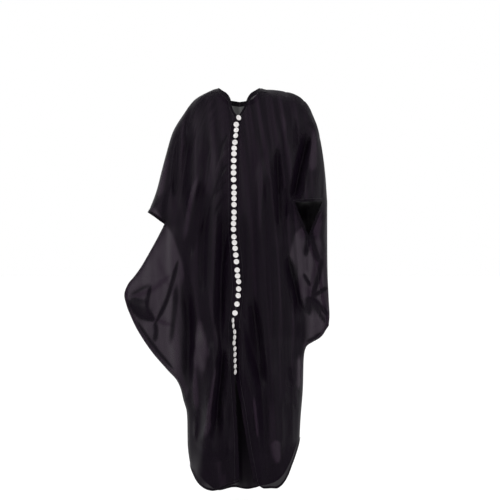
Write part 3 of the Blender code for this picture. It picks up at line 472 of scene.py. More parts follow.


# ---- creases
# Smaller folds and creases, each on a smooth line through three places. width is how far it spreads to each
# side, rise how far it stands out, and the last column how much more cloth lies in it than in smooth cloth:
# -0.3 is drawn thin, 1 doubled. In the rows behind the sleeve's mouth and the front slit it also holds painted
# shade.
Crease = namedtuple("Crease", "x_top z_top x_mid z_mid x_low z_low width rise gather")
FRONT_CREASES = table(
    Crease,
    # left wing, from the place where it is lifted
    (-386, -725, -341, -780, -289, -797, 4.2, -6, 1.9),
    (-303, -673, -317, -749, -289, -797, 4, -6, 1.6),
    (-210, -587, -248, -725, -289, -808, 4.2, -7, 1.9),
    (-378, -722, -345, -755, -296, -785, 19, 0, 0.6),
    (-356, -795, -295, -884, -222, -970, 3.5, -3, 1.5),
    (-289, -800, -286, -832, -293, -870, 4.8, -5, 1.4),
    (-379, -718, -341, -728, -303, -732, 4.5, 4, 0.5),
    (-376, -711, -334, -687, -303, -673, 5, -4, 0.6),
    (-214, -666, -229, -822, -239, -885, 6.5, -8, 0.8),
    (-193, -640, -172, -832, -180, -1040, 13, -10, 1.0),
    # left sleeve and left of the body
    (-212, -160, -220, -270, -224, -375, 7, -10, 0.9),
    (-248, -218, -265, -300, -283, -380, 9, 6, -0.8),
    (-236, -330, -252, -380, -262, -430, 4, -4, 0.5),
    (-160, -60, -180, -110, -192, -190, 6, -5, 0.4),
    (-141, -303, -175, -415, -190, -530, 8, 10, -0.6),
    (-127, -323, -151, -442, -170, -580, 9, -10, 0.6),
    (-110, -347, -120, -499, -124, -700, 10, -10, 0.5),
    (-90, -212, -107, -347, -137, -499, 8, 8, -0.2),
    (-60, -465, -66, -719, -63, -900, 8, -10, 0.7),
    (-78, -420, -86, -640, -92, -820, 8, 8, -0.15),
    (-34, -460, -46, -533, -56, -600, 5, -5, 0.5),
    # short creases that run down from the buttons
    (-42, -263, -70, -313, -93, -381, 3.5, -3, 0.45),
    (-45, -323, -80, -361, -100, -398, 3.5, -3, 0.45),
    (-44, -367, -66, -401, -87, -438, 3.5, -3, 0.4),
    (-40, -215, -62, -250, -80, -300, 3.5, 3, -0.15),
    (-40, -160, -56, -195, -72, -245, 3.5, -2, 0.25),
    # right of the body
    (186, -121, 189, -165, 190, -220, 5, -8, 1.3),
    (151, -90, 153, -117, 156, -150, 5, 6, -0.3),
    (165, -75, 170, -130, 172, -200, 5, -4, 0.4),
    (128, -205, 130, -286, 132, -370, 5.5, -10, 0.7),
    (132, -340, 133, -400, 133, -470, 5, -5, 0.6),
    (153, -340, 157, -391, 155, -450, 5, -6, 0.7),
    (243, -160, 207, -266, 178, -390, 9, -12, 1.0),
    (262, -100, 283, -263, 277, -390, 4.5, -4, 0.8),
    (264, -130, 254, -200, 250, -290, 10, 6, -0.8),
    (96, -300, 89, -432, 96, -570, 9, -6, 0.4),
    (76, -230, 70, -350, 64, -500, 10, 6, -0.15),
    (15, -430, 18, -567, 11, -700, 7, -6, 0.6),
    (165, -570, 194, -692, 220, -785, 7, -12, 1.2),
    (220, -765, 222, -820, 220, -885, 7, -6, 0.9),
    # right wing, below the sleeve's mouth
    (243, -480, 234.6, -532, 226, -580, 6, -8, 1.6),
    (240, -490, 259, -545, 276, -600, 5.5, -6, 1.7),
    (293, -390, 290, -500, 288, -590, 5, -3, 0.8),
    (288, -580, 270, -663, 248, -722, 5, -6, 2.2),
    (219, -636, 235, -663, 246, -680, 3.6, -4, 1.8),
    (228, -628, 240, -650, 252, -668, 5, 5, -0.3),
    (284, -842, 258, -862, 232, -874, 3.5, -2, 1.4),
    (249, -720, 275, -704, 306, -686, 3.8, -5, 2.6),
    (249, -720, 278, -748, 308, -783, 4, -5, 2.6),
    (249, -722, 272, -765, 299, -810, 3.4, -4, 1.6),
    (250, -715, 243, -750, 224, -775, 14, -6, 1.2),
    # from the lowest buttons to the hem
    (4, -735, 26, -854, 72, -1020, 9, -12, 0.9),
    (72, -1003, 79, -1158, 76, -1293, 9, -5, 0.4),
    # this crease's gather is partly painted shade: the dark inside of the right front's turned edge at the
    # slit
    (16, -980, 36, -1094, 64, -1331, 9, -6, 0.8),
    (47.5, -1040, 55, -1118, 62, -1195, 6, 8, -0.9),
    (-77, -940, -90, -1047, -124, -1195, 8, 12, -1.0),
    (-60, -890, -73, -1040, -84, -1150, 7.5, -12, 1.5),
    (-36, -1050, -44, -1180, -60, -1330, 7, -6, 0.4),
    (-160, -1225, -90, -1243, -16, -1238, 5.5, -4, 1.4),
    (-62, -1252, -56, -1310, -48, -1372, 17, 3, -0.6),
    (-66, -1060, -88, -1120, -112, -1180, 7, 5, -0.4),
    (-158, -885, -156, -990, -150, -1110, 8, 6, -0.7),
    (-130, -1090, -137, -1158, -145, -1205, 8, -6, 0.7),
    (-151, -1130, -152, -1160, -153, -1195, 5, 5, -0.4),
    (-147, -1225, -134, -1294, -112, -1350, 24, 0, 0.8),
    (-138, -790, -146, -870, -153, -960, 8.5, 3, -0.5),
    (-136, -790, -121, -865, -99, -935, 8.5, 3, -0.5),
    (-135, -825, -130, -895, -124, -975, 13, 0, -0.45),
    (170, -955, 169, -993, 184, -1020, 6, -6, 0.9),
    (206, -915, 206, -970, 202, -1040, 9, 4, -0.9),
    (192, -1030, 195, -1065, 197, -1100, 5, 4, -0.4),
    (122, -1195, 127, -1233, 134, -1275, 11, 4, -1.0),
    (150, -1060, 158, -1160, 148, -1290, 10, -6, 0.5),
    (106, -1060, 110, -1190, 112, -1340, 11, 6, -0.15),
    plain=1,
)
BACK_CREASES = table(
    Crease,
    # behind the sleeve's mouth, painted shade: extra gather with little or no relief darkens the back where
    # shade falls inside the sleeve; behind the front slit the back bunches, and its gather also holds painted
    # shade of the slit's inside
    (176, -368, 198, -405, 222, -455, 20, 0, 2.4),
    (298, -380, 285, -412, 262, -455, 12, 0, 1.2),
    (262, -370, 254, -450, 248, -530, 22, -8, 2.0),
    (230, -390, 236, -440, 242, -510, 12, -8, 1.2),
    (-12, -960, -4, -1120, 6, -1420, 13, -8, 2.2),
    (18, -960, 28, -1120, 36, -1430, 15, 6, 2.4),
    (40, -1000, 52, -1140, 64, -1430, 13, -8, 1.8),
    # long drapes
    (-120, -120, -140, -360, -150, -640, 9, -8, 0.5),
    (-80, -100, -96, -420, -105, -780, 11, 8, -0.3),
    (-146, -810, -140, -900, -134, -1010, 22, 3, -0.45),
    (212, -920, 214, -990, 208, -1080, 11, 3, -0.9),
    (-262, -200, -276, -300, -292, -390, 10, 5, -0.7),
    (-45, -160, -58, -460, -64, -860, 8, -9, 0.6),
    (-10, -90, -14, -400, -22, -820, 9, 7, 0.2),
    (46, -130, 52, -420, 50, -880, 8, -9, 0.6),
    (92, -110, 104, -400, 108, -780, 10, -7, 0.5),
    (150, -100, 160, -330, 150, -620, 8, -9, 0.7),
    (215, -110, 205, -280, 186, -460, 7, -10, 1.0),
    (-200, -120, -196, -260, -180, -440, 7, -10, 1.0),
    (-250, -250, -240, -340, -226, -430, 6, -6, 0.5),
    # left wing from behind, and right wing
    (-380, -715, -320, -700, -240, -640, 6, -6, 0.7),
    (-375, -740, -310, -790, -230, -820, 6, -6, 0.7),
    (-300, -560, -262, -640, -206, -760, 7, 6, 0.3),
    (-200, -560, -186, -760, -182, -980, 11, -9, 0.7),
    (292, -560, 262, -640, 236, -760, 6, -6, 0.8),
    (300, -780, 262, -740, 230, -680, 6, 5, 0.4),
    (215, -640, 206, -760, 204, -880, 8, -8, 0.8),
    # skirt
    (-150, -900, -146, -1080, -140, -1310, 9, 8, -0.2),
    (-112, -860, -108, -1060, -112, -1330, 8, -9, 0.6),
    (-68, -900, -62, -1100, -60, -1330, 9, 8, -0.2),
    (92, -880, 98, -1080, 98, -1320, 9, -9, 0.6),
    (134, -900, 142, -1080, 148, -1290, 9, 8, -0.15),
    (176, -930, 180, -1060, 178, -1220, 7, -7, 0.5),
    plain=1,
)
# The body's part of the cloth, between the wings: half as much again lies there, in soft gathers.
Body = namedtuple("Body", "z left right fullness")
BODY = table(
    Body,
    (-1450, -230, 250, 0.95),
    (-1300, -230, 250, 0.78),
    (-1200, -220, 250, 0.5),
    (-1020, -170, 212, 0.5),
    (-860, -172, 224, 0.5),
    (-760, -176, 218, 0.5),
    (-690, -184, 192, 0.5),
    (-600, -196, 165, 0.5),
    (-500, -232, 190, 0.45),
    (-400, -300, 290, 0.4),
    (20, -350, 350, 0.4),
    plain=1,
)
BODY_EDGE = 0.014
CREASE_SPREAD, CREASE_GATHER_AND_SHADE = 1.35, 0.85
CREASE_POINTS = 14  # on a crease's line
CREASE_FADE = 0.22  # share of its length over which it starts and ends
THREAD_LIGHT = 0.138  # what one smooth layer lets through


def crease_lines(creases):
    """Each crease's own line, as points."""
    for c in creases:
        yield c, spline(np.reshape(c[:6], (3, 2)), CREASE_POINTS)


def crease_profile(x, z, c, line):
    """How strongly each point belongs to a crease, fading towards the crease's ends."""
    start, run = line[:-1], np.diff(line, axis=0)
    reach = 4 * c.width + 0.02  # it has died out by there
    near = np.abs(x - line[:, 0].mean()) < np.ptp(line[:, 0]) / 2 + reach
    near &= np.abs(z - line[:, 1].mean()) < np.ptp(line[:, 1]) / 2 + reach
    strength = np.zeros_like(x)
    if not near.any():
        return strength
    px, pz = x[near][:, None] - start[:, 0], z[near][:, None] - start[:, 1]
    t = np.clip((px * run[:, 0] + pz * run[:, 1]) / (run**2).sum(axis=1), 0, 1)
    away = (px - t * run[:, 0]) ** 2 + (pz - t * run[:, 1]) ** 2
    k = away.argmin(axis=1)
    along = (k + t[np.arange(len(k)), k]) / len(run)
    fade = ease(along / CREASE_FADE) * ease((1 - along) / CREASE_FADE)
    spread = CREASE_SPREAD * c.width * (0.45 + 0.55 * np.sqrt(fade))
    strength[near] = np.sqrt(fade) * np.exp(-away[np.arange(len(k)), k] / spread**2)
    return strength


def crease_fields(x, z, face):
    """Relief and gather of the creases at each point; where a crease stands for shade, its gather is painted
    shade.
    """
    rise, gather = np.zeros_like(x), np.zeros_like(x)
    for c, line in crease_lines(FRONT_CREASES if face < 0 else BACK_CREASES):
        strength = crease_profile(x, z, c, line)
        rise += c.rise * strength
        gather += CREASE_GATHER_AND_SHADE * c.gather * strength
    return rise, gather


def fullness(x, z):
    """How much more cloth there is than in a smooth sheet."""
    heights, *columns = zip(*BODY)
    left, right, full = (np.interp(z, heights, column) for column in columns)
    return full * ease((x - left) / BODY_EDGE + 0.5) * ease((right - x) / BODY_EDGE + 0.5)


# Fine drapes: waves across the cloth, each wandering sideways by bend as it runs down, and shifted by front
# or back on that side.
Drape = namedtuple("Drape", "height length bend per_z per_x start front back")
DRAPES = [
    Drape(1.0, 0.047, 2.1, 3.1, 4.0, 0.0, 0.0, 1.7),
    Drape(0.6, 0.029, 1.7, 4.3, 0.0, 1.0, 0.8, 2.9),
    Drape(0.35, 0.0173, 2.6, 5.7, 0.0, -2.0, 0.0, 0.0),
]


def drape(x, z, face):
    """Fine soft drapes all over, uneven in spacing, running down the cloth."""
    lean = x + 0.10 * z * np.sin(6 * x + 1.3) + 0.012 * np.sin(5.2 * z + 9 * x)
    waves = np.zeros_like(x)
    for d in DRAPES:
        bend = d.bend * np.sin(d.per_z * z + d.per_x * x + d.start)
        waves += d.height * np.sin(2 * np.pi * lean / d.length + bend + (d.front if face < 0 else d.back))
    patches = np.sin(4.7 * z + 7 * x + (0.4 if face < 0 else 2.2)) * np.sin(11 * x - 2.1 * z + 0.7)
    return waves * (0.55 + 0.45 * patches)


# ---- fine cloth
DRAPE_RISE, DRAPE_GATHER, SLOPE_GATHER = 0.0014, 0.16, 0.35
BAND_GATHER, HEM_GATHER = -0.1, 0.6  # a button band is turned once, a narrow hem twice
DRAPE_DEEPEST = 1.2
LEAST_GATHER, MOST_GATHER = 0.4, 6
STEEPEST = 0.4  # share of cloth seen from the front, at the steepest slope that counts
JOIN_SCALE = 2e4  # points that round to the same place at this scale are one
FINE_ACROSS, FINE_DOWN = ((8, 6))  # fine cells in each panel cell
STRIP_FINE_ACROSS = 4


def refine(grid, down, across):
    """The same surface with down by across cells in each cell, smooth through the old points."""
    for axis, parts in ((0, down), (1, across)):
        n = grid.shape[axis]
        at = np.linspace(0, n - 1, (n - 1) * parts + 1)
        moved = np.moveaxis(grid, axis, 0)
        flat = moved.reshape(n, -1)
        new = np.stack([smooth(at, np.arange(n), flat[:, k]) for k in range(flat.shape[1])], axis=1)
        grid = np.moveaxis(new.reshape((len(at),) + moved.shape[1:]), 0, axis)
    return grid


OUTLINE_POINTS = 1200  # on each of its two curves
RIGHT_OUTLINE = np.concatenate(
    [spline(SHOULDER_RIGHT, OUTLINE_POINTS), spline(SEAM_RIGHT, OUTLINE_POINTS)[1:]]
)
ON_OUTLINE = 2e-4  # a point is on the outline when it is closer than this


def seam_mask(block, x, z, across):
    """Which points of a fine grid lie on the seams, where front and back come together."""
    mask = np.zeros(x.shape, bool)
    shoulder = np.s_[0, NECK_COLUMNS * across :]
    if block in (FRONT_LEFT, BACK_LEFT, BACK_RIGHT):
        seam_top = 0 if block == BACK_RIGHT else SLEEVE_ROWS * FINE_DOWN
        mask[shoulder] = mask[seam_top:, -1] = True
        return mask
    on_outline = distance(x, z, RIGHT_OUTLINE) < ON_OUTLINE
    if block == YOKE_BLOCK:
        mask[shoulder] = on_outline[shoulder]
    if block == LOWER_RIGHT:
        mask[:, -1] = on_outline[:, -1]
    if block == STRIP:
        mask = on_outline
        mask[:, -1] = True
    return mask


Block = namedtuple("Block", "face points gather")


def fine_block(block, face, grid):
    """One grid of the fine robe, as points in space and how much cloth is gathered at each, with painted shade
    added where some creases stand for it.
    """
    across = FINE_ACROSS if block != STRIP else STRIP_FINE_ACROSS
    fine = refine(grid, FINE_DOWN, across)
    x, z = fine[..., 0], fine[..., 1]
    rise, gather = crease_fields(x, z, face)
    waves = drape(x, z, face)
    room = np.clip(thickness(x, z, face) / FLAT_DEPTH, 0, 1)
    y = cloth_y(x, z, face) + face * room * (rise + DRAPE_RISE * waves)
    gather = gather + fullness(x, z) + DRAPE_GATHER * np.minimum(-waves, DRAPE_DEEPEST)
    y = np.where(seam_mask(block, x, z, across), seam_plane(x, z), y)
    return Block(face, np.stack([x, y, z], axis=-1), gather)


def grid_mesh(grids, outward, fields=None):
    """One sheet from several grids, joined where their points are the same. outward is the y sign of each
    grid's normal. fields are values to carry to the sheet's points."""
    vertices, faces, known, values = [], [], {}, []
    fields = fields or [np.zeros(grid.shape[:2]) for grid in grids]
    for grid, sign, field in zip(grids, outward, fields):
        rows, columns = grid.shape[:2]
        keys = np.round(grid * JOIN_SCALE).astype(int)
        ids = np.empty((rows, columns), int)
        for r in range(rows):
            for c in range(columns):
                key = keys[r, c].tobytes()
                k = known.get(key)
                if k is None:
                    k = known[key] = len(vertices)
                    vertices.append(grid[r, c])
                    values.append(field[r, c])
                ids[r, c] = k
        r, c = (rows - 1) // 2, (columns - 1) // 2  # a cell in the middle tells which way the grid faces
        flip = np.cross(grid[r, c + 1] - grid[r, c], grid[r + 1, c] - grid[r, c])[1] * sign < 0
        for r in range(rows - 1):
            for c in range(columns - 1):
                cell = list(dict.fromkeys([ids[r, c], ids[r, c + 1], ids[r + 1, c + 1], ids[r + 1, c]]))
                if len(cell) > 2:
                    faces.append(cell[::-1] if flip else cell)
    return np.array(vertices), faces, np.array(values, np.float32)


def add(name, data):
    """A new object in the scene."""
    obj = bpy.data.objects.new(name, data)
    bpy.context.scene.collection.objects.link(obj)
    return obj


def add_aimed(name, data, place, aim):
    """A lamp or camera that looks along aim."""
    obj = add(name, data)
    obj.location = place
    obj.rotation_mode = "QUATERNION"
    obj.rotation_quaternion = aim.to_track_quat("-Z", "Y")
    return obj


def make_sheet(name, vertices, faces, material):
    mesh = bpy.data.meshes.new(name)
    mesh.from_pydata([tuple(v) for v in vertices], [], faces)
    mesh.validate()
    mesh.materials.append(material)
    mesh.shade_smooth()
    return add(name, mesh)


def mark_gather_and_shade(obj, values):
    """Stores how many layers' worth of cloth lie at each point, with more where it is steep, and with painted
    shade where some creases stand for it.
    """
    mesh = obj.data
    normals = np.empty(len(mesh.vertices) * 3, np.float32)
    mesh.vertex_normals.foreach_get("vector", normals)
    slope = 1 / np.maximum(np.abs(normals.reshape(-1, 3)[:, 1]), STEEPEST) - 1
    layers = 1 + values + SLOPE_GATHER * slope
    layer = mesh.attributes.new("gather", "FLOAT", "POINT")
    layer.data.foreach_set("value", np.clip(layers, LEAST_GATHER, MOST_GATHER).astype(np.float32))


# ---- materials
def new_material(name, **values):
    """A Principled material with some of its sockets set, named here with _ for each space."""
    material = bpy.data.materials.new(name)
    material.use_nodes = True
    tree = material.node_tree
    shader = tree.nodes["Principled BSDF"]
    for key, value in values.items():
        shader.inputs[key.replace("_", " ")].default_value = value
    return material, tree, shader


def node(tree, kind, settings=None, **links):
    """A node with some sockets set to numbers and some linked from other sockets."""
    made = tree.nodes.new(kind)
    for key, value in (settings or {}).items():
        setattr(made, key, value)
    for key, value in links.items():
        numbered = key[0] == "i" and key[1:].isdigit()
        socket = made.inputs[int(key[1:]) if numbered else key.replace("_", " ")]
        if isinstance(value, bpy.types.NodeSocket):
            tree.links.new(value, socket)
        else:
            socket.default_value = value
    return made


# The threads' colour: where cloth lies thin the base colour is lighter, a painted glow standing in for light
# scattered through from behind; the dense colours are the threads' own.
THIN_WITH_PAINTED_GLOW = (0.0150, 0.0085, 0.0160)
DENSE_LOW, DENSE_HIGH = (0.0022, 0.0011, 0.0029), (0.0044, 0.0022, 0.0054)


def mixed(tree, share, first, second):
    """The colour share of the way from first to second, each a colour or a socket."""
    colours = [c if isinstance(c, bpy.types.NodeSocket) else (*c, 1) for c in (first, second)]
    mix = node(tree, "ShaderNodeMix", {"data_type": "RGBA"}, i0=share, i6=colours[0], i7=colours[1])
    return mix.outputs[2]


def chiffon(name, dark):
    """Sheer black cloth. The weave is a fine bump, the colour drifts a little, and gathers are less sheer.
    Where cloth lies thin, the base colour is lighter: a painted glow of light coming through from behind.
    """
    material, tree, shader = new_material(
        name,
        Roughness=0.4,
        IOR=1.12,
        Sheen_Weight=0.012,
        Sheen_Roughness=0.45,
        Sheen_Tint=(0.60, 0.46, 0.75, 1),
    )
    coords = node(tree, "ShaderNodeTexCoord").outputs["Object"]
    drift = node(tree, "ShaderNodeTexNoise", Vector=coords, Scale=14.0, Detail=3.0)
    # the gather attribute holds painted shade where some creases stand for it; it darkens the colour and
    # raises the alpha
    gather = node(tree, "ShaderNodeAttribute", {"attribute_name": "gather"}).outputs["Fac"]
    dense = mixed(tree, drift.outputs["Fac"], [dark * c for c in DENSE_LOW], [dark * c for c in DENSE_HIGH])
    # painted glow: the base colour runs from the lighter thin colour, light from behind painted in, to the
    # dense threads' colour as more cloth lies there
    packed = node(tree, "ShaderNodeMapRange", Value=gather, From_Min=1.0, From_Max=1.5)
    colour = mixed(tree, packed.outputs[0], [dark * c for c in THIN_WITH_PAINTED_GLOW], dense)
    tree.links.new(colour, shader.inputs["Base Color"])
    through = node(tree, "ShaderNodeMath", {"operation": "POWER"}, i0=THREAD_LIGHT, i1=gather)
    alpha = node(tree, "ShaderNodeMath", {"operation": "SUBTRACT"}, i0=1.0, i1=through.outputs[0])
    tree.links.new(alpha.outputs[0], shader.inputs["Alpha"])
    crepe = node(tree, "ShaderNodeTexNoise", Vector=coords, Scale=240.0, Detail=2.0)
    bump = node(tree, "ShaderNodeBump", Height=crepe.outputs["Fac"], Strength=0.05, Distance=0.0004)
    tree.links.new(bump.outputs[0], shader.inputs["Normal"])
    return material


def thread_material():
    return new_material("black_thread", Base_Color=(0.016, 0.012, 0.018, 1), Roughness=0.45)[0]


def button_material():
    gloss = {"Roughness": 0.22, "Coat_Weight": 0.35, "Coat_Roughness": 0.08}
    material, tree, shader = new_material("button_white", **gloss)
    coords = node(tree, "ShaderNodeTexCoord").outputs["Object"]
    cloud = node(tree, "ShaderNodeTexNoise", Vector=coords, Scale=180.0, Detail=2.0, Distortion=0.6)
    colour = mixed(tree, cloud.outputs["Fac"], (0.66, 0.64, 0.63), (0.50, 0.48, 0.48))
    tree.links.new(colour, shader.inputs["Base Color"])
    return material


def floor_material():
    grey, white = (0.42, 0.42, 0.42, 1), (1, 1, 1, 1)
    light = {"Emission_Color": white, "Emission_Strength": 0.60}
    return new_material("studio_white", Base_Color=grey, Roughness=0.9, **light)[0]


# ---- pieces
def put(obj, *nodes, slot):
    """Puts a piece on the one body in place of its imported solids."""
    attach(obj, "root")
    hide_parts(*nodes)
    return obj


def lifted(grid, sign, lift):
    """A grid moved out along its normals by lift. sign is the way out in y."""
    across, down = np.gradient(grid, axis=1), np.gradient(grid, axis=0)
    out = np.cross(across, down)
    out /= np.linalg.norm(out, axis=-1, keepdims=True) + 1e-12
    out *= np.sign((out[..., 1] * sign).sum())
    return grid + out * lift


def make_cloth(cloth, materials):
    made = {}
    layouts = {
        "front_left": [FRONT_LEFT],
        "front_right": [YOKE_BLOCK, LOWER_RIGHT],
        "back": [BACK_LEFT, BACK_RIGHT, STRIP],
    }
    for name, blocks in layouts.items():
        signs, grids, gathers_and_shade = zip(*(cloth[block] for block in blocks))
        vertices, faces, gather = grid_mesh(grids, signs, gathers_and_shade)
        obj = make_sheet("cloth_" + name, vertices, faces, materials["cloth"])
        mark_gather_and_shade(obj, gather)
        made[name] = put(obj, name, slot="black_chiffon")
    return made


# Parts of a fine grid: the columns along the neckline, and the rows beside and below each sleeve's opening.
NECK = slice(0, (NECK_COLUMNS + 1) * FINE_ACROSS + 1)
SLEEVE = slice(0, (SLEEVE_ROWS + 1) * FINE_DOWN + 1)
BELOW_SLEEVE = slice((SLEEVE_ROWS + 1) * FINE_DOWN, -FINE_DOWN)
BELOW_MOUTH = slice((MOUTH_ROWS + 1) * FINE_DOWN, -FINE_DOWN)


def make_bands(cloth, materials):
    a, d = FINE_ACROSS, FINE_DOWN
    first_row, last_row = slice(0, d + 1), slice(-d - 1, None)
    first_column, last_column = slice(0, a + 1), slice(-a - 1, None)
    mouth = slice(0, (MOUTH_ROWS + 1) * d + 1)
    strip_mouth = slice((STRIP_FIRST - 1) * d, (STRIP_FIRST + MOUTH_ROWS + 1) * d + 1)
    out, within = BAND_LIFT, -BAND_LIFT
    bands = {
        "neck_binding": [
            (block, first_row, NECK, out) for block in (FRONT_LEFT, YOKE_BLOCK, BACK_LEFT, BACK_RIGHT)
        ],
        "button_band_left": [(FRONT_LEFT, slice(d, None), first_column, within)],
        "button_band_right": [
            (YOKE_BLOCK, slice(d, None), first_column, within),
            (LOWER_RIGHT, slice(0, None), first_column, within),
        ],
        "hem_left": [(FRONT_LEFT, last_row, slice(None), out)],
        "hem_right": [(LOWER_RIGHT, last_row, slice(None), out)],
        "hem_back": [(BACK_LEFT, last_row, slice(None), out), (BACK_RIGHT, last_row, slice(None), out)],
        "sleeve_hem_left": [(FRONT_LEFT, SLEEVE, last_column, out), (BACK_LEFT, SLEEVE, last_column, out)],
        "sleeve_hem_right": [
            (YOKE_BLOCK, slice(None), last_column, out),
            (LOWER_RIGHT, mouth, last_column, out),
            (STRIP, strip_mouth, slice(0, STRIP_FINE_ACROSS + 1), out),
        ],
        "seam_allowance_left": [(FRONT_LEFT, BELOW_SLEEVE, last_column, within)],
        "seam_allowance_right": [(LOWER_RIGHT, BELOW_MOUTH, last_column, within)],
    }
    made = {}
    for name, parts in bands.items():
        grids, signs = [], []
        for block, rows, columns, lift in parts:
            grids.append(lifted(cloth[block].points[rows, columns], cloth[block].face, lift))
            signs.append(cloth[block].face)
        vertices, faces, gather = grid_mesh(grids, signs)
        obj = make_sheet("band_" + name, vertices, faces, materials["band"])
        mark_gather_and_shade(obj, gather + (BAND_GATHER if name.startswith("button_band") else HEM_GATHER))
        made[name] = put(obj, name, slot="black_binding")
    return made


BUTTON_NAMES = sorted(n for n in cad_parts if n.startswith("button_") and "band" not in n)


def button_place(name):
    """A packed button's middle, axis towards the front, lowest height along it, thickness and radius."""
    points = np.array([v.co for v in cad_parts[name].data.vertices])
    middle = points.mean(axis=0)
    _, _, axes = np.linalg.svd(points - middle)
    axis = axes[2] if axes[2][1] < 0 else -axes[2]
    heights = (points - middle) @ axis
    radius = np.linalg.norm((points - middle) - np.outer(heights, axis), axis=1).max()
    return middle, axis, heights.min(), np.ptp(heights), radius


ASKEW = (0.31, 0.87, 0.38)  # a direction that no thread runs in


def tube(path, radius, sides, vertices, faces):
    """Adds a round thread along a path of points, its ends closed."""
    path = np.asarray(path, float)
    along = np.gradient(path, axis=0)
    along /= np.linalg.norm(along, axis=1, keepdims=True) + 1e-12
    side = np.cross(along, ASKEW)
    side /= np.linalg.norm(side, axis=1, keepdims=True)
    up, start = np.cross(along, side), len(vertices)
    for k in range(len(path)):
        for s in range(sides):
            angle = 2 * np.pi * s / sides
            vertices.append(path[k] + radius * (np.cos(angle) * side[k] + np.sin(angle) * up[k]))
    for k in range(len(path) - 1):
        for s in range(sides):
            a, b = start + k * sides + s, start + k * sides + (s + 1) % sides
            faces.append((a, b, b + sides, a + sides))
    end = start + (len(path) - 1) * sides
    faces.append(tuple(start + s for s in reversed(range(sides))))
    faces.append(tuple(end + s for s in range(sides)))


def make_stitches(cloth, materials):
    """Rows of short stitches along the bands' inner edges, a joined mesh for each panel."""
    a, d = FINE_ACROSS, FINE_DOWN
    everything, below_neck, hem = slice(None), slice(d, None), -d - 1
    rows = {
        "front_left": [
            (FRONT_LEFT, d, NECK),
            (FRONT_LEFT, hem, everything),
            (FRONT_LEFT, SLEEVE, -a - 1),
            (FRONT_LEFT, BELOW_SLEEVE, -a - 1),
            (FRONT_LEFT, below_neck, a),
        ],
        "front_right": [
            (YOKE_BLOCK, d, NECK),
            (YOKE_BLOCK, everything, -a - 1),
            (YOKE_BLOCK, below_neck, a),
            (LOWER_RIGHT, everything, a),
            (LOWER_RIGHT, hem, everything),
            (LOWER_RIGHT, BELOW_MOUTH, -a - 1),
        ],
        "back": [
            (BACK_LEFT, d, NECK),
            (BACK_RIGHT, d, NECK),
            (BACK_LEFT, hem, everything),
            (BACK_RIGHT, hem, everything),
            (BACK_LEFT, SLEEVE, -a - 1),
        ],
    }
    made = {}
    for panel, lines in rows.items():
        vertices, faces = [], []
        for block, down, across in lines:
            line = lifted(cloth[block].points, cloth[block].face, STITCH_LIFT)[down, across]
            run = run_along(line)
            for start in np.arange(STITCH_PITCH, run[-1] - STITCH_PITCH, STITCH_PITCH):
                stitch = picked(start + np.linspace(0, STITCH_LENGTH, 3), run, line)
                tube(stitch, STITCH_RADIUS, STITCH_SIDES, vertices, faces)
        obj = make_sheet("stitches_" + panel, vertices, faces, materials["thread"])
        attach(obj, "root")
        made[panel] = obj
    return made


def make_loops(materials):
    """The thread shank under each button and the loop of cord that holds it, as one joined mesh."""
    vertices, faces = [], []
    for name in BUTTON_NAMES:
        middle, axis, low, thick, radius = button_place(name)
        right = np.cross((0, 0, 1), -axis)
        right /= np.linalg.norm(right)
        up = np.cross(right, -axis)
        foot = middle + axis * (low - FOOT_DROP)
        shank = [foot - axis * SHANK_LENGTH, foot + axis * SHANK_IN_BUTTON]
        tube(shank, SHANK_RADIUS, SHANK_SIDES, vertices, faces)
        arc = np.radians(np.linspace(-LOOP_TURN, LOOP_TURN, LOOP_POINTS))
        turns = [np.cos(angle) * right + np.sin(angle) * up for angle in arc]
        ring = [foot + (radius + LOOP_CLEAR) * turn + axis * LOOP_CLEAR for turn in turns]
        ends = [foot - axis * LOOP_DOWN - LOOP_IN * right + s * 0.5 * radius * up for s in (-1, 1)]
        tube([ends[0]] + ring + [ends[1]], LOOP_RADIUS, LOOP_SIDES, vertices, faces)
    obj = make_sheet("button_loops", vertices, faces, materials["thread"])
    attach(obj, "root")
    return obj


# A button's outline, from the middle of its back round to its dimple: shares of its radius and thickness.
PROFILE = [
    (0.0, 0.04), (0.60, 0.0), (0.86, 0.06), (0.96, 0.30), (1.0, 0.52), (0.97, 0.78), (0.90, 0.95), (0.80, 1.0),
    (0.71, 0.95), (0.64, 0.82), (0.50, 0.70), (0.30, 0.66), (0.20, 0.62), (0.13, 0.50), (0.0, 0.44),
]


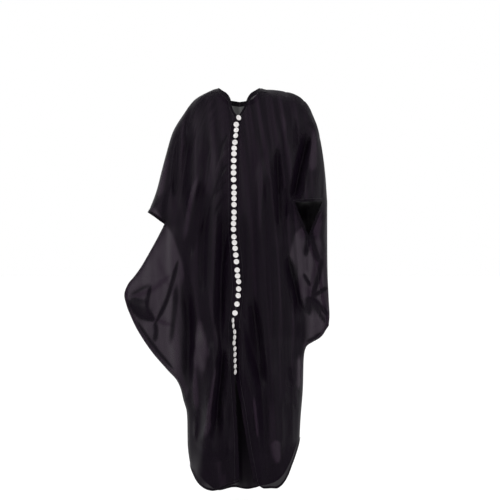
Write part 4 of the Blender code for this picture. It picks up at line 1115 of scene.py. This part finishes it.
def make_buttons(materials):
    """Each button takes its place and tilt from its packed disc, with a rolled rim, a dish and a dimple."""
    sides = 28
    for name in BUTTON_NAMES:
        middle, axis, low, thick, radius = button_place(name)
        turn = Vector(axis).to_track_quat("Z", "Y").to_matrix()
        base = Vector(middle) + Vector(axis) * float(low)
        vertices, faces = [], []
        for share, height in PROFILE:
            for k in range(sides if share else 1):
                angle = 2 * np.pi * k / sides
                reach = share * radius
                flat = Vector((reach * np.cos(angle), reach * np.sin(angle), height * thick))
                vertices.append(base + turn @ flat)
        starts = np.cumsum([0] + [sides if share else 1 for share, _ in PROFILE])
        for i in range(len(PROFILE) - 1):
            lo, hi = starts[i], starts[i + 1]
            for k in range(sides):
                m = (k + 1) % sides
                if PROFILE[i][0] == 0:
                    faces.append((lo, hi + m, hi + k))
                elif PROFILE[i + 1][0] == 0:
                    faces.append((lo + k, lo + m, hi))
                else:
                    faces.append((lo + k, lo + m, hi + m, hi + k))
        obj = make_sheet("pearl_" + name, vertices, faces, materials["button"])
        put(obj, name, slot="white_button")


# ---- studio
def make_studio(materials):
    corners = [(x * FLOOR_HALF, y * FLOOR_HALF, FLOOR_Z) for x, y in ((-1, -1), (1, -1), (1, 1), (-1, 1))]
    floor = make_sheet("studio_floor", corners, [(0, 1, 2, 3)], materials["floor"])

    world = bpy.data.worlds.new("studio")
    world.use_nodes = True
    background = world.node_tree.nodes["Background"]
    background.inputs["Color"].default_value = (1, 1, 1, 1)
    background.inputs["Strength"].default_value = WORLD_LIGHT
    bpy.context.scene.world = world
    for name, place, size, power in LIGHTS:
        light = bpy.data.lights.new(name, "AREA")
        light.energy, light.size = power, size
        add_aimed(name, light, place, Vector(LIGHTS_AIM) - Vector(place))


def make_camera():
    camera = bpy.data.cameras.new("camera")
    camera.sensor_width = SENSOR_WIDTH
    camera.lens = SENSOR_WIDTH * CAMERA_DISTANCE / FRAME_WIDTH
    bpy.context.scene.camera = add_aimed("camera", camera, CAMERA_PLACE, Vector((0, 1, 0)))


scene = bpy.context.scene
scene.cycles.transparent_max_bounces = 32
scene.view_settings.view_transform = "Standard"

make_camera()
materials = {
    "cloth": chiffon("chiffon", 1.0),
    "band": chiffon("chiffon_doubled", 0.8),  # a little darker
    "thread": thread_material(),
    "button": button_material(),
    "floor": floor_material(),
}
cloth = [fine_block(block, face, grid) for block, (face, grid) in enumerate(GRIDS)]
panels = make_cloth(cloth, materials)
bands = make_bands(cloth, materials)
stitches = make_stitches(cloth, materials)
make_loops(materials)
make_buttons(materials)
make_studio(materials)
